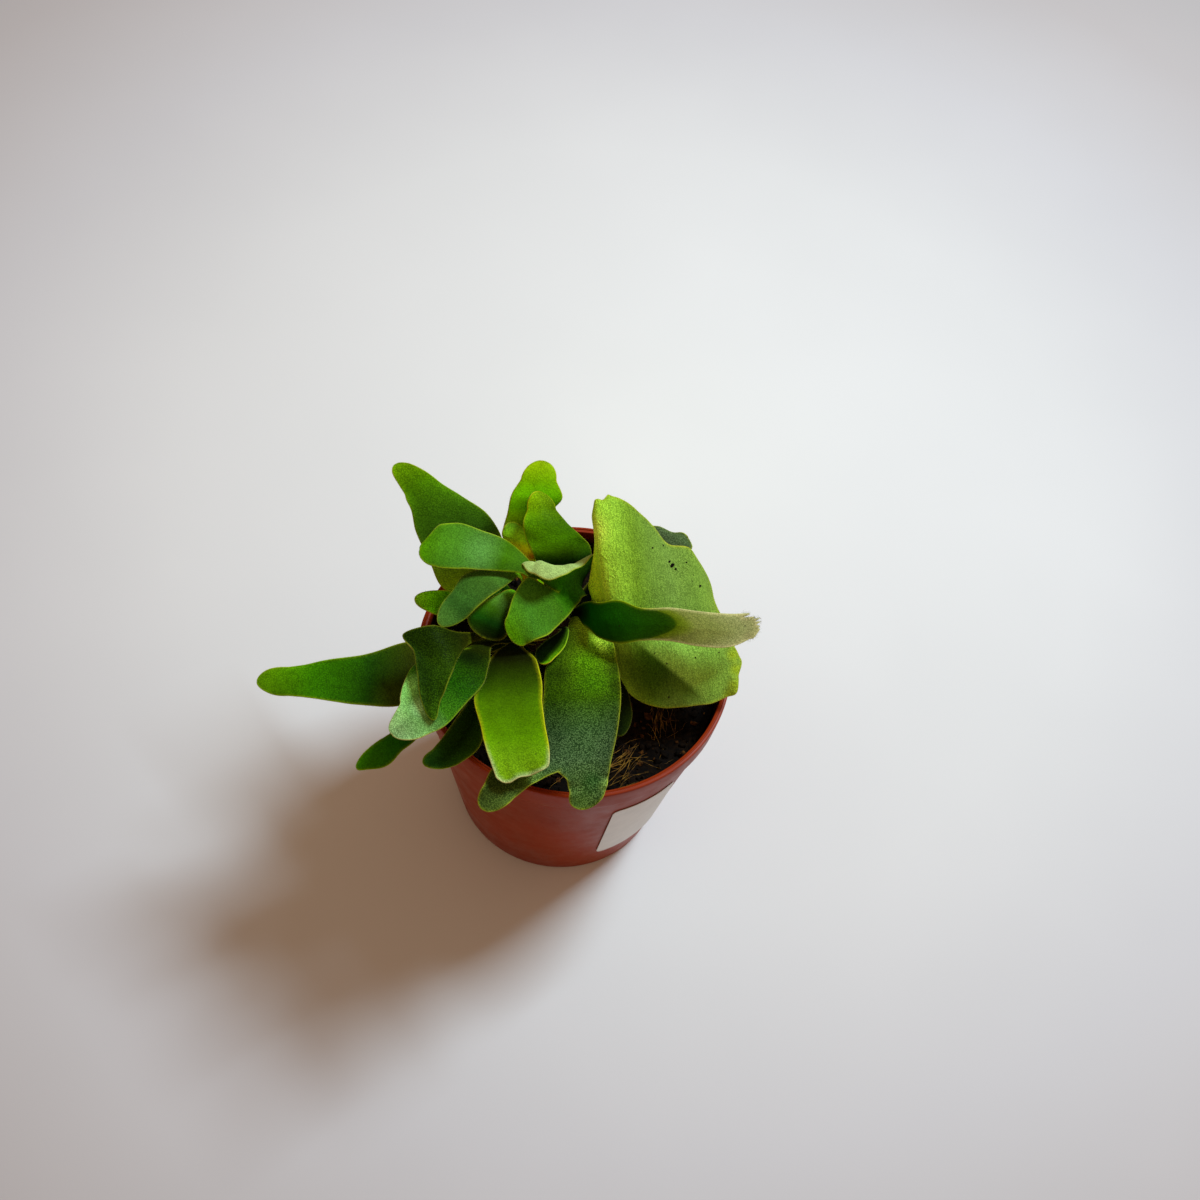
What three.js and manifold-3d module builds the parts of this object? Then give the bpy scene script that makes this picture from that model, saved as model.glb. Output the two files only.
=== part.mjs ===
// Young staghorn fern growing in a small terracotta-coloured plastic nursery pot.
// Millimetres, +Z up, origin at the centre of the pot's underside, the front of the plant towards -Y.
import * as THREE from 'three';
import { mergeVertices } from 'three/addons/utils/BufferGeometryUtils.js';
import Module from 'manifold-3d';

const wasm = await Module();
wasm.setup();

// Clearance between a piece and the piece that carries it
const SEAT_GAP = 0.3;

// Pot: a thin moulded cone with a straight collar under its rim
const POT = {
  height: 75,
  rimRadius: 45,
  baseRadius: 31.2,
  collarHeight: 9.4,
  collarTaper: 0.7,
  collarStep: 1.1,
  wall: 1.3,
  rimWidth: 2.3,
  floor: 1.8,
  corner: 0.8,
  facets: 60,
};

// Top of the rim from the outside inwards: [distance in from the rim's radius, distance down from the top]
const RIM_TOP = [[0, 0.5], [0.4, 0], [0.9, 0], [1.1, 0.3], [1.4, 0.3], [1.5, 0.1], [2.1, 0.2], [2.3, 0.6]];

// Drain holes in the pot's floor
const DRAIN = { count: 8, radius: 3.6, circle: 21, facets: 16 };

// Potting mix: filled to a finger's width below the rim
const SOIL = { top: 65.6, bump: 0.9, rings: 9, sectors: 44, shoulder: 1.2, smooth: 4 };

// Crown: the short scaly rhizome that every frond grows from
const CROWN = { x: -9, y: 9, bottom: 58, shoulder: 77, top: 87, radius: 6.5, rings: 12 };
const SCALES = { rows: 8, round: 9, depth: 0.35, clear: 2 };

// Blade thickness at the midrib and at the margin, and the width of a stalk where it leaves the crown
const BLADE = { mid: 1.3, edge: 0.75, stalk: 2.6 };

// Rounding of a blade's end: the rows it takes and how far round a quarter turn it goes, in degrees
const TIP = { rows: 3, turn: 82 };

// Label stuck to the pot's wall, azimuth in degrees
const LABEL = {
  azimuth: -54,
  width: 17.5,
  top: 57,
  bottom: 14.5,
  thickness: 0.4,
  lean: 2.5,
  gap: 0.35,
  rows: 8,
  columns: 6,
};

// Loose coir strands tangled on the potting mix: the middle of each tangle, its heading and its strands
const COIR = { radius: 0.4, sides: 5, steps: 4, hump: 1.6, lift: 0.08, bow: 1.6, fan: 70, clear: 5 };
const COIR_TANGLES = {
  coir_tangle_front: { middle: [16.5, -27], heading: 50, strands: 8, length: 14 },
  coir_tangle_right: { middle: [27.5, -12.5], heading: 96, strands: 5, length: 9 },
};

// Fronds. The stalk leaves the crown at root [azimuth in degrees, height]. A row across the blade is
// [left margin, right margin, arch], where arch is the angle in degrees that the section bends through.
// Past the last row the blade rounds off to its tip, ends cut across or divides into two lobes at its fork.
// wave is [height, waves] of its margins. Where a frond has them: columns is the count of quads across and
// steps the count of rows between two given ones, flip turns its stalk over, heading sets the way its
// sections face, and crimp and fringe ruffle a cut end up and down or in and out.
const FRONDS = {
  frond_far_left: {
    colour: '#5d7440',
    root: [205, 72],
    rows: [
      [[-28.5, -13, 84], [-30, -5.5, 84], 0],
      [[-36, -26.5, 87], [-39, -9, 88], -10],
      [[-44.5, -32, 88], [-48, -13, 90], -20],
      [[-55.5, -32.5, 87], [-58, -18.5, 89], -25],
      [[-66.5, -32, 85], [-69, -21, 87], -25],
      [[-76, -31, 83], [-77.5, -22.5, 84], -20],
    ],
    tip: [-85.5, -27, 81],
    wave: [0.7, 3.2],
  },
  frond_left_dark: {
    colour: '#44583a',
    root: [232, 82],
    rows: [
      [[-28, -7, 86.5], [-27.5, -4, 87], 0],
      [[-30.5, -20, 99.5], [-33.5, -12.5, 99.5], -10],
      [[-31, -27, 104.5], [-39.5, -15.5, 105], -25],
      [[-31.5, -31.5, 106], [-46.5, -19, 104], -30],
      [[-32, -35, 106], [-43, -24, 106], -25],
      [[-32, -38, 105], [-40, -32.5, 105.5], -20],
    ],
    tip: [-34.5, -42.5, 102.5],
    wave: [0.4, 2.1],
  },
  frond_left_pale: {
    colour: '#6f8450',
    root: [242, 75],
    rows: [
      [[-22.5, -7, 86], [-26.5, -6, 85], 0],
      [[-22.5, -17.5, 94.5], [-33, -15.5, 93], 20],
      [[-23, -27.5, 98.5], [-38, -19.5, 96], 30],
      [[-26.5, -35, 99.5], [-42.5, -23.5, 97], 30],
      [[-30.5, -41.5, 99.5], [-44, -29.5, 97.5], 20],
      [[-35, -44.5, 98], [-44, -36.5, 97.5], 10],
    ],
    tip: [-44.5, -45, 96],
    wave: [0.5, 2.4],
  },
  frond_front_bright: {
    colour: '#8fae45',
    root: [264, 79],
    rows: [
      [[-14.5, -6, 87], [-19.5, -5, 84], 10],
      [[-10, -15, 95], [-23, -13, 87], 10],
      [[-7.5, -23, 98], [-24.5, -22.5, 91.5], 0],
      [[-6.5, -31, 101.5], [-24.5, -32, 97], -10],
      [[-4.5, -40, 104.5], [-21.5, -41, 101], -25],
      [[-2.5, -48, 107], [-19, -49, 104], -30],
      [[-1.5, -54, 107], [-15, -57.5, 105], -30],
    ],
    wave: [0.6, 3.3],
    columns: 6,
    crimp: 0.8,
  },
  frond_front_forked: {
    colour: '#66794a',
    root: [318, 74],
    rows: [
      [[0, 5, 86], [-2.5, 4.5, 86], 20],
      [[5.5, -4, 92], [-3, -2.5, 87], 40],
      [[11, -10.5, 94.5], [-5, -10.5, 89], 30],
      [[13.5, -23, 97], [-5.5, -27, 95], 0],
      [[14.5, -35.5, 97], [-5.5, -41, 98], -20],
      [[14, -44, 96], [-9.5, -49, 99.5], -20],
    ],
    fork: [0.5, -50, 98.5],
    lobes: [
      {
        rows: [
          [[14, -48, 95], [3, -51, 97], -15],
          [[13.5, -51, 94], [4.5, -53.5, 95], -10],
        ],
        tip: [8.5, -57, 93],
      },
      {
        rows: [
          [[-4, -54, 100], [-14.5, -52.5, 101], -10],
          [[-9.5, -60, 100], [-16.5, -58, 101], -10],
        ],
        tip: [-16.5, -64.5, 99],
      },
    ],
    wave: [0.5, 3.1],
    columns: 6,
  },
  frond_front_sliver: {
    colour: '#8aa552',
    root: [296, 83],
    rows: [
      [[-2.5, -2.5, 92.5], [-5, -2.5, 91.5], -20],
      [[-3, -8.5, 94], [-8.5, -7.5, 93], -60],
      [[-5.5, -13, 94], [-10.5, -10.5, 92.5], -60],
    ],
    tip: [-9, -14, 91.5],
    wave: [0.2, 1.5],
    columns: 2,
  },
  frond_centre_forked: {
    colour: '#6e9440',
    root: [28, 82],
    flip: true,
    rows: [
      [[0.5, 11.5, 90], [1.5, 16.5, 101.5], -120],
      [[-1, 7.5, 92.5], [-3, 10, 104.5], -165],
    ],
    fork: [-7, 7, 96],
    lobes: [
      {
        rows: [
          [[-3.5, 0, 95.5], [-9, 7.5, 97], -20],
          [[-6.5, -6, 97.5], [-12.5, 8.5, 97.5], -20],
          [[-8.5, -9, 98], [-16, 10, 97], -20],
          [[-11.5, -10.5, 97], [-19, 4.5, 97], -20],
          [[-15, -10.5, 95.5], [-20, -2, 96], -15],
        ],
        tip: [-18, -9, 94.5],
      },
      {
        rows: [
          [[-10, 8.5, 96], [-6.5, 6.5, 105], -150],
          [[-13, 10, 96], [-9.5, 5, 105], -150],
          [[-15.5, 10.5, 96.5], [-13, 5.5, 104.5], -160],
          [[-17, 10.5, 98], [-15.5, 7, 103.5], -160],
        ],
        tip: [-18, 10, 101.5],
      },
    ],
    wave: [0.3, 2.2],
    columns: 8,
  },
  frond_left_upper: {
    colour: '#7c9c4a',
    root: [150, 83],
    rows: [
      [[-16.5, 12, 94], [-15, 15, 95], 0],
      [[-24, 9, 99.5], [-23, 18, 101], -10],
      [[-32, 7, 101], [-30.5, 19, 103], -25],
      [[-37.5, 5.5, 102], [-37, 20, 104], -30],
      [[-42, 5.5, 102], [-42, 18.5, 104], -25],
    ],
    tip: [-47.5, 10.5, 101.5],
    wave: [0.4, 2.3],
  },
  frond_left_ovate: {
    colour: '#4c6444',
    root: [180, 78],
    rows: [
      [[-18.5, 13.5, 90], [-19, 15, 91], 0],
      [[-22, 6.5, 96], [-27.5, 10.5, 97], 10],
      [[-25.5, 1.5, 97], [-34, 7, 97.5], 15],
      [[-29, -3, 96.5], [-36.5, 2, 96], 10],
    ],
    tip: [-38, -7, 92],
    wave: [0.3, 2.1],
  },
  frond_left_small: {
    colour: '#87a35a',
    root: [184, 73],
    rows: [
      [[-27.5, 3.5, 82], [-28.5, 9.5, 82], 0],
      [[-36, 0, 85], [-37, 8.5, 86], -10],
    ],
    tip: [-47, 3.5, 87],
    wave: [0.3, 1.6],
  },
  frond_under_centre: {
    colour: '#465c3a',
    root: [212, 77],
    rows: [
      [[-16.5, 5.5, 89], [-20, 9, 91], 0],
      [[-18.5, -2, 92], [-26.5, 2.5, 93.5], -20],
      [[-19, -6.5, 92.5], [-31, -3, 93], -30],
    ],
    tip: [-25.5, -8, 90.5],
    wave: [0.3, 1.8],
  },
  frond_back_left: {
    colour: '#55703c',
    root: [150, 72.5],
    rows: [
      [[-30, 11.5, 77], [-25, 22, 79], 0],
      [[-40.5, 12.5, 81], [-25.5, 26.5, 84], 10],
      [[-45.5, 18, 86], [-26, 28, 88.5], 15],
      [[-50.5, 24.5, 90], [-31, 32, 93], 15],
      [[-53, 30.5, 92], [-38, 34.5, 95.5], 10],
      [[-56, 34, 93], [-46, 38.5, 96], 0],
    ],
    tip: [-61, 44, 94],
    wave: [0.5, 3.2],
    columns: 6,
  },
  frond_back_bright: {
    colour: '#a9c34e',
    root: [104, 73],
    rows: [
      [[-21, 21, 85], [-14, 24, 85], 0],
      [[-25.5, 25.5, 92], [-13.5, 28.5, 92], 15],
      [[-25, 29.5, 99], [-12.5, 31, 100], 20],
      [[-24.5, 32, 104], [-10, 33.5, 104], 20],
      [[-22.5, 35.5, 107], [-12.5, 37, 107], 15],
    ],
    tip: [-17.5, 41, 110],
    wave: [0.4, 2.6],
  },
  frond_yellowed: {
    colour: '#a8a344',
    root: [124, 78],
    rows: [
      [[-20, 17.5, 88], [-15, 20, 88], 0],
      [[-23.5, 21, 93.5], [-15.5, 19.5, 94], 10],
      [[-25.5, 22.5, 97], [-18, 22, 97], 15],
    ],
    tip: [-22.5, 26, 99.5],
    wave: [0.3, 1.4],
  },
  frond_back_centre: {
    colour: '#7f9c42',
    root: [80, 79],
    rows: [
      [[-11, 18, 86], [-3.5, 20.5, 86], 20],
      [[-14.5, 17.5, 93.5], [0, 24, 91.5], 50],
      [[-16.5, 18.5, 98], [-0.5, 25, 95], 55],
      [[-18.5, 20.5, 101], [-3, 25.5, 98], 50],
      [[-20, 23.5, 103.5], [-6, 26, 101], 40],
      [[-19, 27, 105.5], [-11.5, 29.5, 103.5], 25],
    ],
    tip: [-17, 32.5, 107],
    wave: [0.8, 3.4],
    columns: 6,
  },
  frond_right_felted: {
    colour: '#b9bd8f',
    root: [352, 84],
    rows: [
      [[1.5, 7.5, 93], [2.5, 3, 91], 10],
      [[5, 1.5, 103], [6.5, -7, 98], 25],
      [[10, 0.5, 107], [12, -9.5, 101], 30],
      [[16, -1.5, 108], [17.5, -8.5, 102.5], 25],
      [[24, 0, 108], [25, -7, 102], 20],
      [[32, 1.5, 106], [33.5, -6, 100], 10],
      [[40.5, 3.5, 104], [42, -4, 99], 0],
      [[45.5, 5.5, 102.5], [49, 1.5, 98], 0],
    ],
    wave: [0.2, 2.2],
    columns: 10,
    fringe: 1.6,
  },
  shield_frond: {
    colour: '#9db06a',
    root: [0, 76],
    heading: [1, 0, 0],
    rows: [
      [[2.5, 11, 90], [6, 6, 83], 10],
      [[1, 10, 97], [10, 0.5, 83], 20],
      [[1, 13.5, 102], [12.5, -3.5, 82], 30],
      [[1, 18, 106], [13, -6, 81.5], 40],
      [[0, 21, 110], [14, -8.5, 81], 45],
      [[-1, 24, 113], [15.5, -10.5, 80.5], 50],
      [[-0.5, 26.5, 115], [17, -12.5, 80], 50],
      [[2.5, 28, 116], [20, -14, 79.5], 50],
      [[7.5, 28.5, 114], [23.5, -14.5, 79], 50],
      [[12, 27.5, 111], [27, -14.5, 78.5], 45],
      [[16, 26, 108], [31.5, -13.5, 78.5], 40],
      [[21, 23.5, 104], [36, -12, 78.5], 35],
      [[27.5, 25, 101], [40, -11, 79], 30],
      [[32.5, 20, 96], [44, -8.5, 79.5], 25],
      [[37, 14, 92], [46.5, -7.5, 80.5], 20],
      [[40.5, 9.5, 90], [46.5, -3.5, 82.5], 10],
    ],
    wave: [0.3, 5.2],
    columns: 12,
    steps: 1,
  },
  frond_back_right: {
    colour: '#5f6e54',
    root: [46, 73],
    rows: [
      [[1, 24, 79], [8, 19, 78], 0],
      [[8, 34.5, 84], [17, 24, 82], 10],
      [[14.5, 40, 87], [23.5, 30.5, 85], 10],
      [[18.5, 40, 88.5], [27, 33.5, 87], 0],
    ],
    tip: [28, 37, 89],
    wave: [0.4, 2.2],
  },
  frond_low_left: {
    colour: '#3f5234',
    root: [230, 69.5],
    rows: [
      [[-28, -7, 78], [-30.5, -5, 78], 0],
      [[-34, -27, 83], [-39.5, -23.5, 83], -10],
      [[-39.5, -40, 84], [-45, -36.5, 84], -15],
      [[-44, -44.5, 83], [-49, -40.5, 83], -15],
    ],
    tip: [-53.5, -48.5, 80],
    wave: [0.3, 2.3],
  },
  frond_low_front: {
    colour: '#4a5c3c',
    root: [255, 70],
    rows: [
      [[-20, -9.5, 76], [-23.5, -8, 76], 0],
      [[-21, -26.5, 80.5], [-28, -25, 81], -10],
      [[-22, -37.5, 81], [-32, -35, 81.5], -15],
      [[-26.5, -42.5, 80.5], [-34.5, -40, 81], -15],
    ],
    tip: [-35, -44.5, 79.5],
    wave: [0.4, 2.4],
  },
  frond_low_right: {
    colour: '#3d4c30',
    root: [330, 70],
    rows: [
      [[8.5, 3.5, 75], [4.5, 2.5, 75], 0],
      [[16, -9, 77], [9, -11, 77], -10],
      [[18.5, -16, 76], [12, -18, 76], -15],
    ],
    tip: [16, -23, 74],
    wave: [0.3, 2.2],
  },
};

const DEGREE = Math.PI / 180;
const vector = ([x, y, z]) => new THREE.Vector3(x, y, z);

// Repeatable noise: the same number for the same place
function noise(a, b = 0, c = 0) {
  const wild = Math.sin(a * 127.1 + b * 311.7 + c * 74.7) * 43758.5453;
  return 2 * (wild - Math.floor(wild)) - 1;
}

// A sheet is a list of points with the thickness of the sheet at each, and the quads between them
function sheetSolid(sheet) {
  const count = sheet.points.length;
  const normals = sheet.points.map(() => new THREE.Vector3());
  const triangles = [];
  for (const [a, b, c, d] of sheet.quads) triangles.push([a, b, c], [a, c, d]);
  const edge1 = new THREE.Vector3();
  const edge2 = new THREE.Vector3();
  for (const [a, b, c] of triangles) {
    edge1.subVectors(sheet.points[b], sheet.points[a]);
    edge2.subVectors(sheet.points[c], sheet.points[a]);
    const face = new THREE.Vector3().crossVectors(edge1, edge2);
    for (const corner of [a, b, c]) normals[corner].add(face);
  }
  const positions = [];
  for (const side of [0.5, -0.5]) {
    sheet.points.forEach((point, index) => {
      const lift = side * sheet.thickness[index];
      const place = point.clone().addScaledVector(normals[index].normalize(), lift);
      positions.push(place.x, place.y, place.z);
    });
  }
  const indices = [];
  const edges = new Map();
  for (const [a, b, c] of triangles) {
    indices.push(a, b, c, a + count, c + count, b + count);
    for (const [from, to] of [[a, b], [b, c], [c, a]]) {
      if (!edges.delete(`${to}_${from}`)) edges.set(`${from}_${to}`, [from, to]);
    }
  }
  for (const [from, to] of edges.values()) {
    indices.push(from, from + count, to + count, from, to + count, to);
  }
  const geometry = new THREE.BufferGeometry();
  geometry.setAttribute('position', new THREE.Float32BufferAttribute(positions, 3));
  geometry.setIndex(indices);
  return geometry;
}

// A point of a section bent through an angle between its margins, across from -1 (left) to 1 (right)
function sectionPoint(left, right, arch, normal, across) {
  const chord = new THREE.Vector3().subVectors(right, left);
  const middle = new THREE.Vector3().addVectors(left, right).multiplyScalar(0.5);
  const half = (arch / 2) * DEGREE;
  if (Math.abs(half) < 0.01) return middle.addScaledVector(chord, across / 2);
  const radius = 1 / (2 * Math.sin(half));
  const along = Math.sin(across * half) * radius;
  const rise = (Math.cos(across * half) - Math.cos(half)) * radius * chord.length();
  return middle.addScaledVector(chord, along).addScaledVector(normal, rise);
}

// Rows of a blade between two smooth margins, with its rounded tip if it has one
function bladeRows(rows, tip, steps) {
  const left = new THREE.CatmullRomCurve3(rows.map((row) => vector(row[0])), false, 'centripetal');
  const right = new THREE.CatmullRomCurve3(rows.map((row) => vector(row[1])), false, 'centripetal');
  const spans = rows.length - 1;
  const result = [];
  for (let i = 0; i <= spans * steps; i += 1) {
    const at = i / steps;
    const low = Math.min(Math.floor(at), spans - 1);
    const arch = THREE.MathUtils.lerp(rows[low][2], rows[low + 1][2], at - low);
    result.push({ left: left.getPoint(at / spans), right: right.getPoint(at / spans), arch });
  }
  if (!tip) return result;
  const last = result[result.length - 1];
  const middle = new THREE.Vector3().addVectors(last.left, last.right).multiplyScalar(0.5);
  const end = vector(tip);
  for (let i = 1; i <= TIP.rows; i += 1) {
    const turn = (i / TIP.rows) * TIP.turn * DEGREE;
    const centre = middle.clone().lerp(end, Math.sin(turn));
    const shrink = Math.cos(turn);
    result.push({
      left: centre.clone().addScaledVector(last.left.clone().sub(middle), shrink),
      right: centre.clone().addScaledVector(last.right.clone().sub(middle), shrink),
      arch: last.arch * shrink,
    });
  }
  return result;
}

// Upward direction of each row: along the blade crossed with the direction of its left margin
function rowNormals(rows, heading) {
  const centres = rows.map((row) => row.left.clone().add(row.right).multiplyScalar(0.5));
  return rows.map((row, i) => {
    const ahead = centres[Math.min(i + 1, rows.length - 1)].clone().sub(centres[Math.max(i - 1, 0)]);
    if (heading) ahead.copy(vector(heading));
    return ahead.cross(row.left.clone().sub(row.right)).normalize();
  });
}

// Share of a wave by which the right margin's waves run ahead of the left margin's
const WAVE_SHIFT = 0.37;

// Adds a strip of rows to a sheet and returns the vertex numbers and normals of its rows
function addStrip(sheet, rows, columns, look, firstIndices = null) {
  const normals = rowNormals(rows, look.heading);
  const grid = [];
  rows.forEach((row, i) => {
    if (i === 0 && firstIndices) {
      grid.push(firstIndices);
      return;
    }
    const along = i / (rows.length - 1);
    const line = [];
    for (let j = 0; j <= columns; j += 1) {
      const across = (2 * j) / columns - 1;
      const point = sectionPoint(row.left, row.right, row.arch, normals[i], across);
      const sway = Math.sin((along * look.waves + (across < 0 ? 0 : WAVE_SHIFT)) * 2 * Math.PI);
      point.addScaledVector(normals[i], look.height * sway * across * across * Math.min(1, along * 3));
      line.push(sheet.points.length);
      sheet.points.push(point);
      sheet.thickness.push(THREE.MathUtils.lerp(BLADE.mid, BLADE.edge, Math.abs(across)));
    }
    grid.push(line);
  });
  for (let i = 0; i + 1 < grid.length; i += 1) {
    for (let j = 0; j < columns; j += 1) {
      sheet.quads.push([grid[i][j], grid[i + 1][j], grid[i + 1][j + 1], grid[i][j + 1]]);
    }
  }
  return { grid, normals };
}

// The end of a frond that is cut across: its teeth stand out by turns and its edge is crimped up and down
function dressEnd(sheet, strip, frond) {
  const end = strip.grid[strip.grid.length - 1];
  const before = strip.grid[strip.grid.length - 2];
  const up = strip.normals[strip.normals.length - 1];
  end.forEach((index, j) => {
    const ahead = sheet.points[index].clone().sub(sheet.points[before[j]]).normalize();
    const turn = j % 2 ? 1 : -1;
    sheet.points[index].addScaledVector(ahead, turn * (frond.fringe ?? 0) * (1 + 0.3 * noise(j, 3)));
    sheet.points[index].addScaledVector(up, turn * (frond.crimp ?? 0) * 0.5);
  });
}

function frondGeometry(frond) {
  const steps = frond.steps ?? 2;
  const columns = frond.columns ?? 4;
  const [azimuth, height] = frond.root;
  const out = new THREE.Vector3(Math.cos(azimuth * DEGREE), Math.sin(azimuth * DEGREE), 0);
  const side = new THREE.Vector3(-out.y, out.x, 0).multiplyScalar((frond.flip ? -0.5 : 0.5) * BLADE.stalk);
  const foot = new THREE.Vector3(CROWN.x, CROWN.y, height);
  foot.addScaledVector(out, crownRadius(height) + SEAT_GAP);
  const firstRow = vector(frond.rows[0][0]).add(vector(frond.rows[0][1])).multiplyScalar(0.5);
  const steepness = Math.abs(firstRow.sub(foot).normalize().z);
  foot.addScaledVector(out, (steepness * BLADE.mid) / 2);
  const rootRow = [foot.clone().add(side).toArray(), foot.clone().sub(side).toArray(), 0];
  const look = { height: frond.wave[0], waves: frond.wave[1], heading: frond.heading };
  const sheet = { points: [], thickness: [], quads: [] };
  const trunk = bladeRows([rootRow, ...frond.rows], frond.tip, steps);
  const strip = addStrip(sheet, trunk, columns, look);
  if (!frond.lobes) {
    if (!frond.tip) dressEnd(sheet, strip, frond);
    return sheetSolid(sheet);
  }
  const end = strip.grid[strip.grid.length - 1];
  const half = columns / 2;
  const fork = vector(frond.fork);
  const pull = fork.clone().sub(sheet.points[end[half]]);
  end.forEach((index, j) => {
    const across = (2 * j) / columns - 1;
    sheet.points[index].addScaledVector(pull, (1 - Math.abs(across)) ** 2);
  });
  const lastRow = trunk[trunk.length - 1];
  const edges = [[lastRow.left.toArray(), frond.fork], [frond.fork, lastRow.right.toArray()]];
  frond.lobes.forEach((lobe, number) => {
    const start = [...edges[number], lastRow.arch / 2];
    const rows = bladeRows([start, ...lobe.rows], lobe.tip, steps);
    const shared = end.slice(number * half, number * half + half + 1);
    addStrip(sheet, rows, half, look, shared);
  });
  return sheetSolid(sheet);
}

// Outer radius of the crown at a height: a straight neck and a domed top
function crownRadius(height) {
  if (height <= CROWN.shoulder) return CROWN.radius;
  const up = (height - CROWN.shoulder) / (CROWN.top - CROWN.shoulder);
  return CROWN.radius * Math.sqrt(Math.max(0, 1 - up * up));
}

function lathe(profile, facets) {
  const geometry = new THREE.LatheGeometry(profile.map(([r, z]) => new THREE.Vector2(r, z)), facets);
  geometry.rotateX(Math.PI / 2);
  return geometry;
}

// Merges the shared corners of a closed mesh and drops the triangles that shrink to nothing
function closed(geometry) {
  const bare = geometry.clone();
  bare.deleteAttribute('normal');
  bare.deleteAttribute('uv');
  const merged = mergeVertices(bare, 1e-4);
  const index = merged.index.array;
  const kept = [];
  for (let i = 0; i < index.length; i += 3) {
    const [a, b, c] = [index[i], index[i + 1], index[i + 2]];
    if (a !== b && b !== c && c !== a) kept.push(a, b, c);
  }
  merged.setIndex(kept);
  return merged;
}

function toManifold(geometry) {
  const merged = closed(geometry);
  const vertProperties = new Float32Array(merged.attributes.position.array);
  const triVerts = new Uint32Array(merged.index.array);
  return new wasm.Manifold(new wasm.Mesh({ numProp: 3, vertProperties, triVerts }));
}

function fromManifold(solid) {
  const mesh = solid.getMesh();
  const geometry = new THREE.BufferGeometry();
  geometry.setAttribute('position', new THREE.BufferAttribute(new Float32Array(mesh.vertProperties), 3));
  geometry.setIndex(new THREE.BufferAttribute(new Uint32Array(mesh.triVerts), 1));
  return geometry;
}

// Outside radius of the pot's tapered wall at a height
const collarFoot = POT.height - POT.collarHeight;
const wallTop = POT.rimRadius - POT.collarTaper - POT.collarStep;
const wallRadius = (height) => THREE.MathUtils.lerp(POT.baseRadius, wallTop, height / collarFoot);

function potGeometry() {
  const { baseRadius, rimRadius, collarTaper, wall, floor, corner, facets } = POT;
  const profile = [
    [0, 0],
    [baseRadius - corner, 0],
    [wallRadius(corner), corner],
    [wallTop, collarFoot],
    [rimRadius - collarTaper, collarFoot + corner],
    ...RIM_TOP.map(([inward, down]) => [rimRadius - inward, POT.height - down]),
    [wallTop - wall + corner, collarFoot + corner],
    [wallTop - wall, collarFoot - corner],
    [wallRadius(floor) - wall, floor],
    [0, floor],
  ];
  let solid = toManifold(lathe(profile, facets));
  for (let i = 0; i < DRAIN.count; i += 1) {
    const drill = new THREE.CylinderGeometry(DRAIN.radius, DRAIN.radius, 3 * floor, DRAIN.facets);
    drill.rotateX(Math.PI / 2);
    const turn = (i / DRAIN.count) * 2 * Math.PI;
    drill.translate(DRAIN.circle * Math.cos(turn), DRAIN.circle * Math.sin(turn), floor / 2);
    solid = solid.subtract(toManifold(drill));
  }
  return fromManifold(solid);
}

// Height of the soil's crumbly surface, level where coir lies on it
function soilHeight(x, y, fade) {
  for (const { middle, length } of Object.values(COIR_TANGLES)) {
    if (Math.hypot(x - middle[0], y - middle[1]) < length / 2 + COIR.clear) return SOIL.top;
  }
  const lumps = Math.sin(x * 0.41 + 1.3) * Math.cos(y * 0.37) + 0.6 * noise(Math.round(x), Math.round(y));
  return SOIL.top + SOIL.bump * lumps * fade;
}

function soilGeometry() {
  const base = POT.floor + SEAT_GAP;
  const low = SOIL.top - 2 * SOIL.shoulder;
  const edge = (height) => wallRadius(height) - POT.wall - 1.5 * SEAT_GAP;
  const rim = edge(low);
  const profile = [[0, base], [edge(base), base], [rim, low], [rim, SOIL.top - SOIL.shoulder]];
  for (let i = 1; i <= SOIL.rings; i += 1) profile.push([rim * (1 - i / SOIL.rings), SOIL.top]);
  const body = closed(lathe(profile, SOIL.sectors));
  const spot = body.attributes.position;
  for (let i = 0; i < spot.count; i += 1) {
    const [x, y, z] = [spot.getX(i), spot.getY(i), spot.getZ(i)];
    const fade = Math.min(1, (rim - Math.hypot(x, y)) / SOIL.smooth);
    if (z > SOIL.top - SOIL.shoulder / 2) spot.setZ(i, soilHeight(x, y, fade));
  }
  const holeRadius = CROWN.radius + SEAT_GAP;
  const holeLength = CROWN.top - CROWN.bottom;
  const hole = new THREE.CylinderGeometry(holeRadius, holeRadius, holeLength, SOIL.sectors);
  hole.rotateX(Math.PI / 2);
  hole.translate(CROWN.x, CROWN.y, CROWN.bottom - SEAT_GAP + holeLength / 2);
  return fromManifold(toManifold(body).subtract(toManifold(hole)));
}

// The crown's dead scales stand out in rows above the soil
function crownGeometry() {
  const start = SOIL.top + SCALES.clear;
  const profile = [[0, CROWN.bottom], [CROWN.radius, CROWN.bottom]];
  for (let i = 0; i < CROWN.rings; i += 1) {
    const height = THREE.MathUtils.lerp(start, CROWN.top, Math.sin((i / CROWN.rings) * Math.PI / 2));
    profile.push([crownRadius(height), height]);
  }
  profile.push([0, CROWN.top]);
  const geometry = closed(lathe(profile, 2 * SCALES.round));
  const spot = geometry.attributes.position;
  for (let i = 0; i < spot.count; i += 1) {
    const [x, y, z] = [spot.getX(i), spot.getY(i), spot.getZ(i)];
    if (z > start + SCALES.depth) {
      const row = Math.round(((z - start) / (CROWN.top - start)) * SCALES.rows);
      const column = Math.round((Math.atan2(y, x) / Math.PI) * SCALES.round);
      const shrink = (row + column) % 2 ? 1 : 1 - SCALES.depth / CROWN.radius;
      spot.setXYZ(i, x * shrink, y * shrink, z);
    }
  }
  geometry.translate(CROWN.x, CROWN.y, 0);
  return geometry;
}

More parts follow.
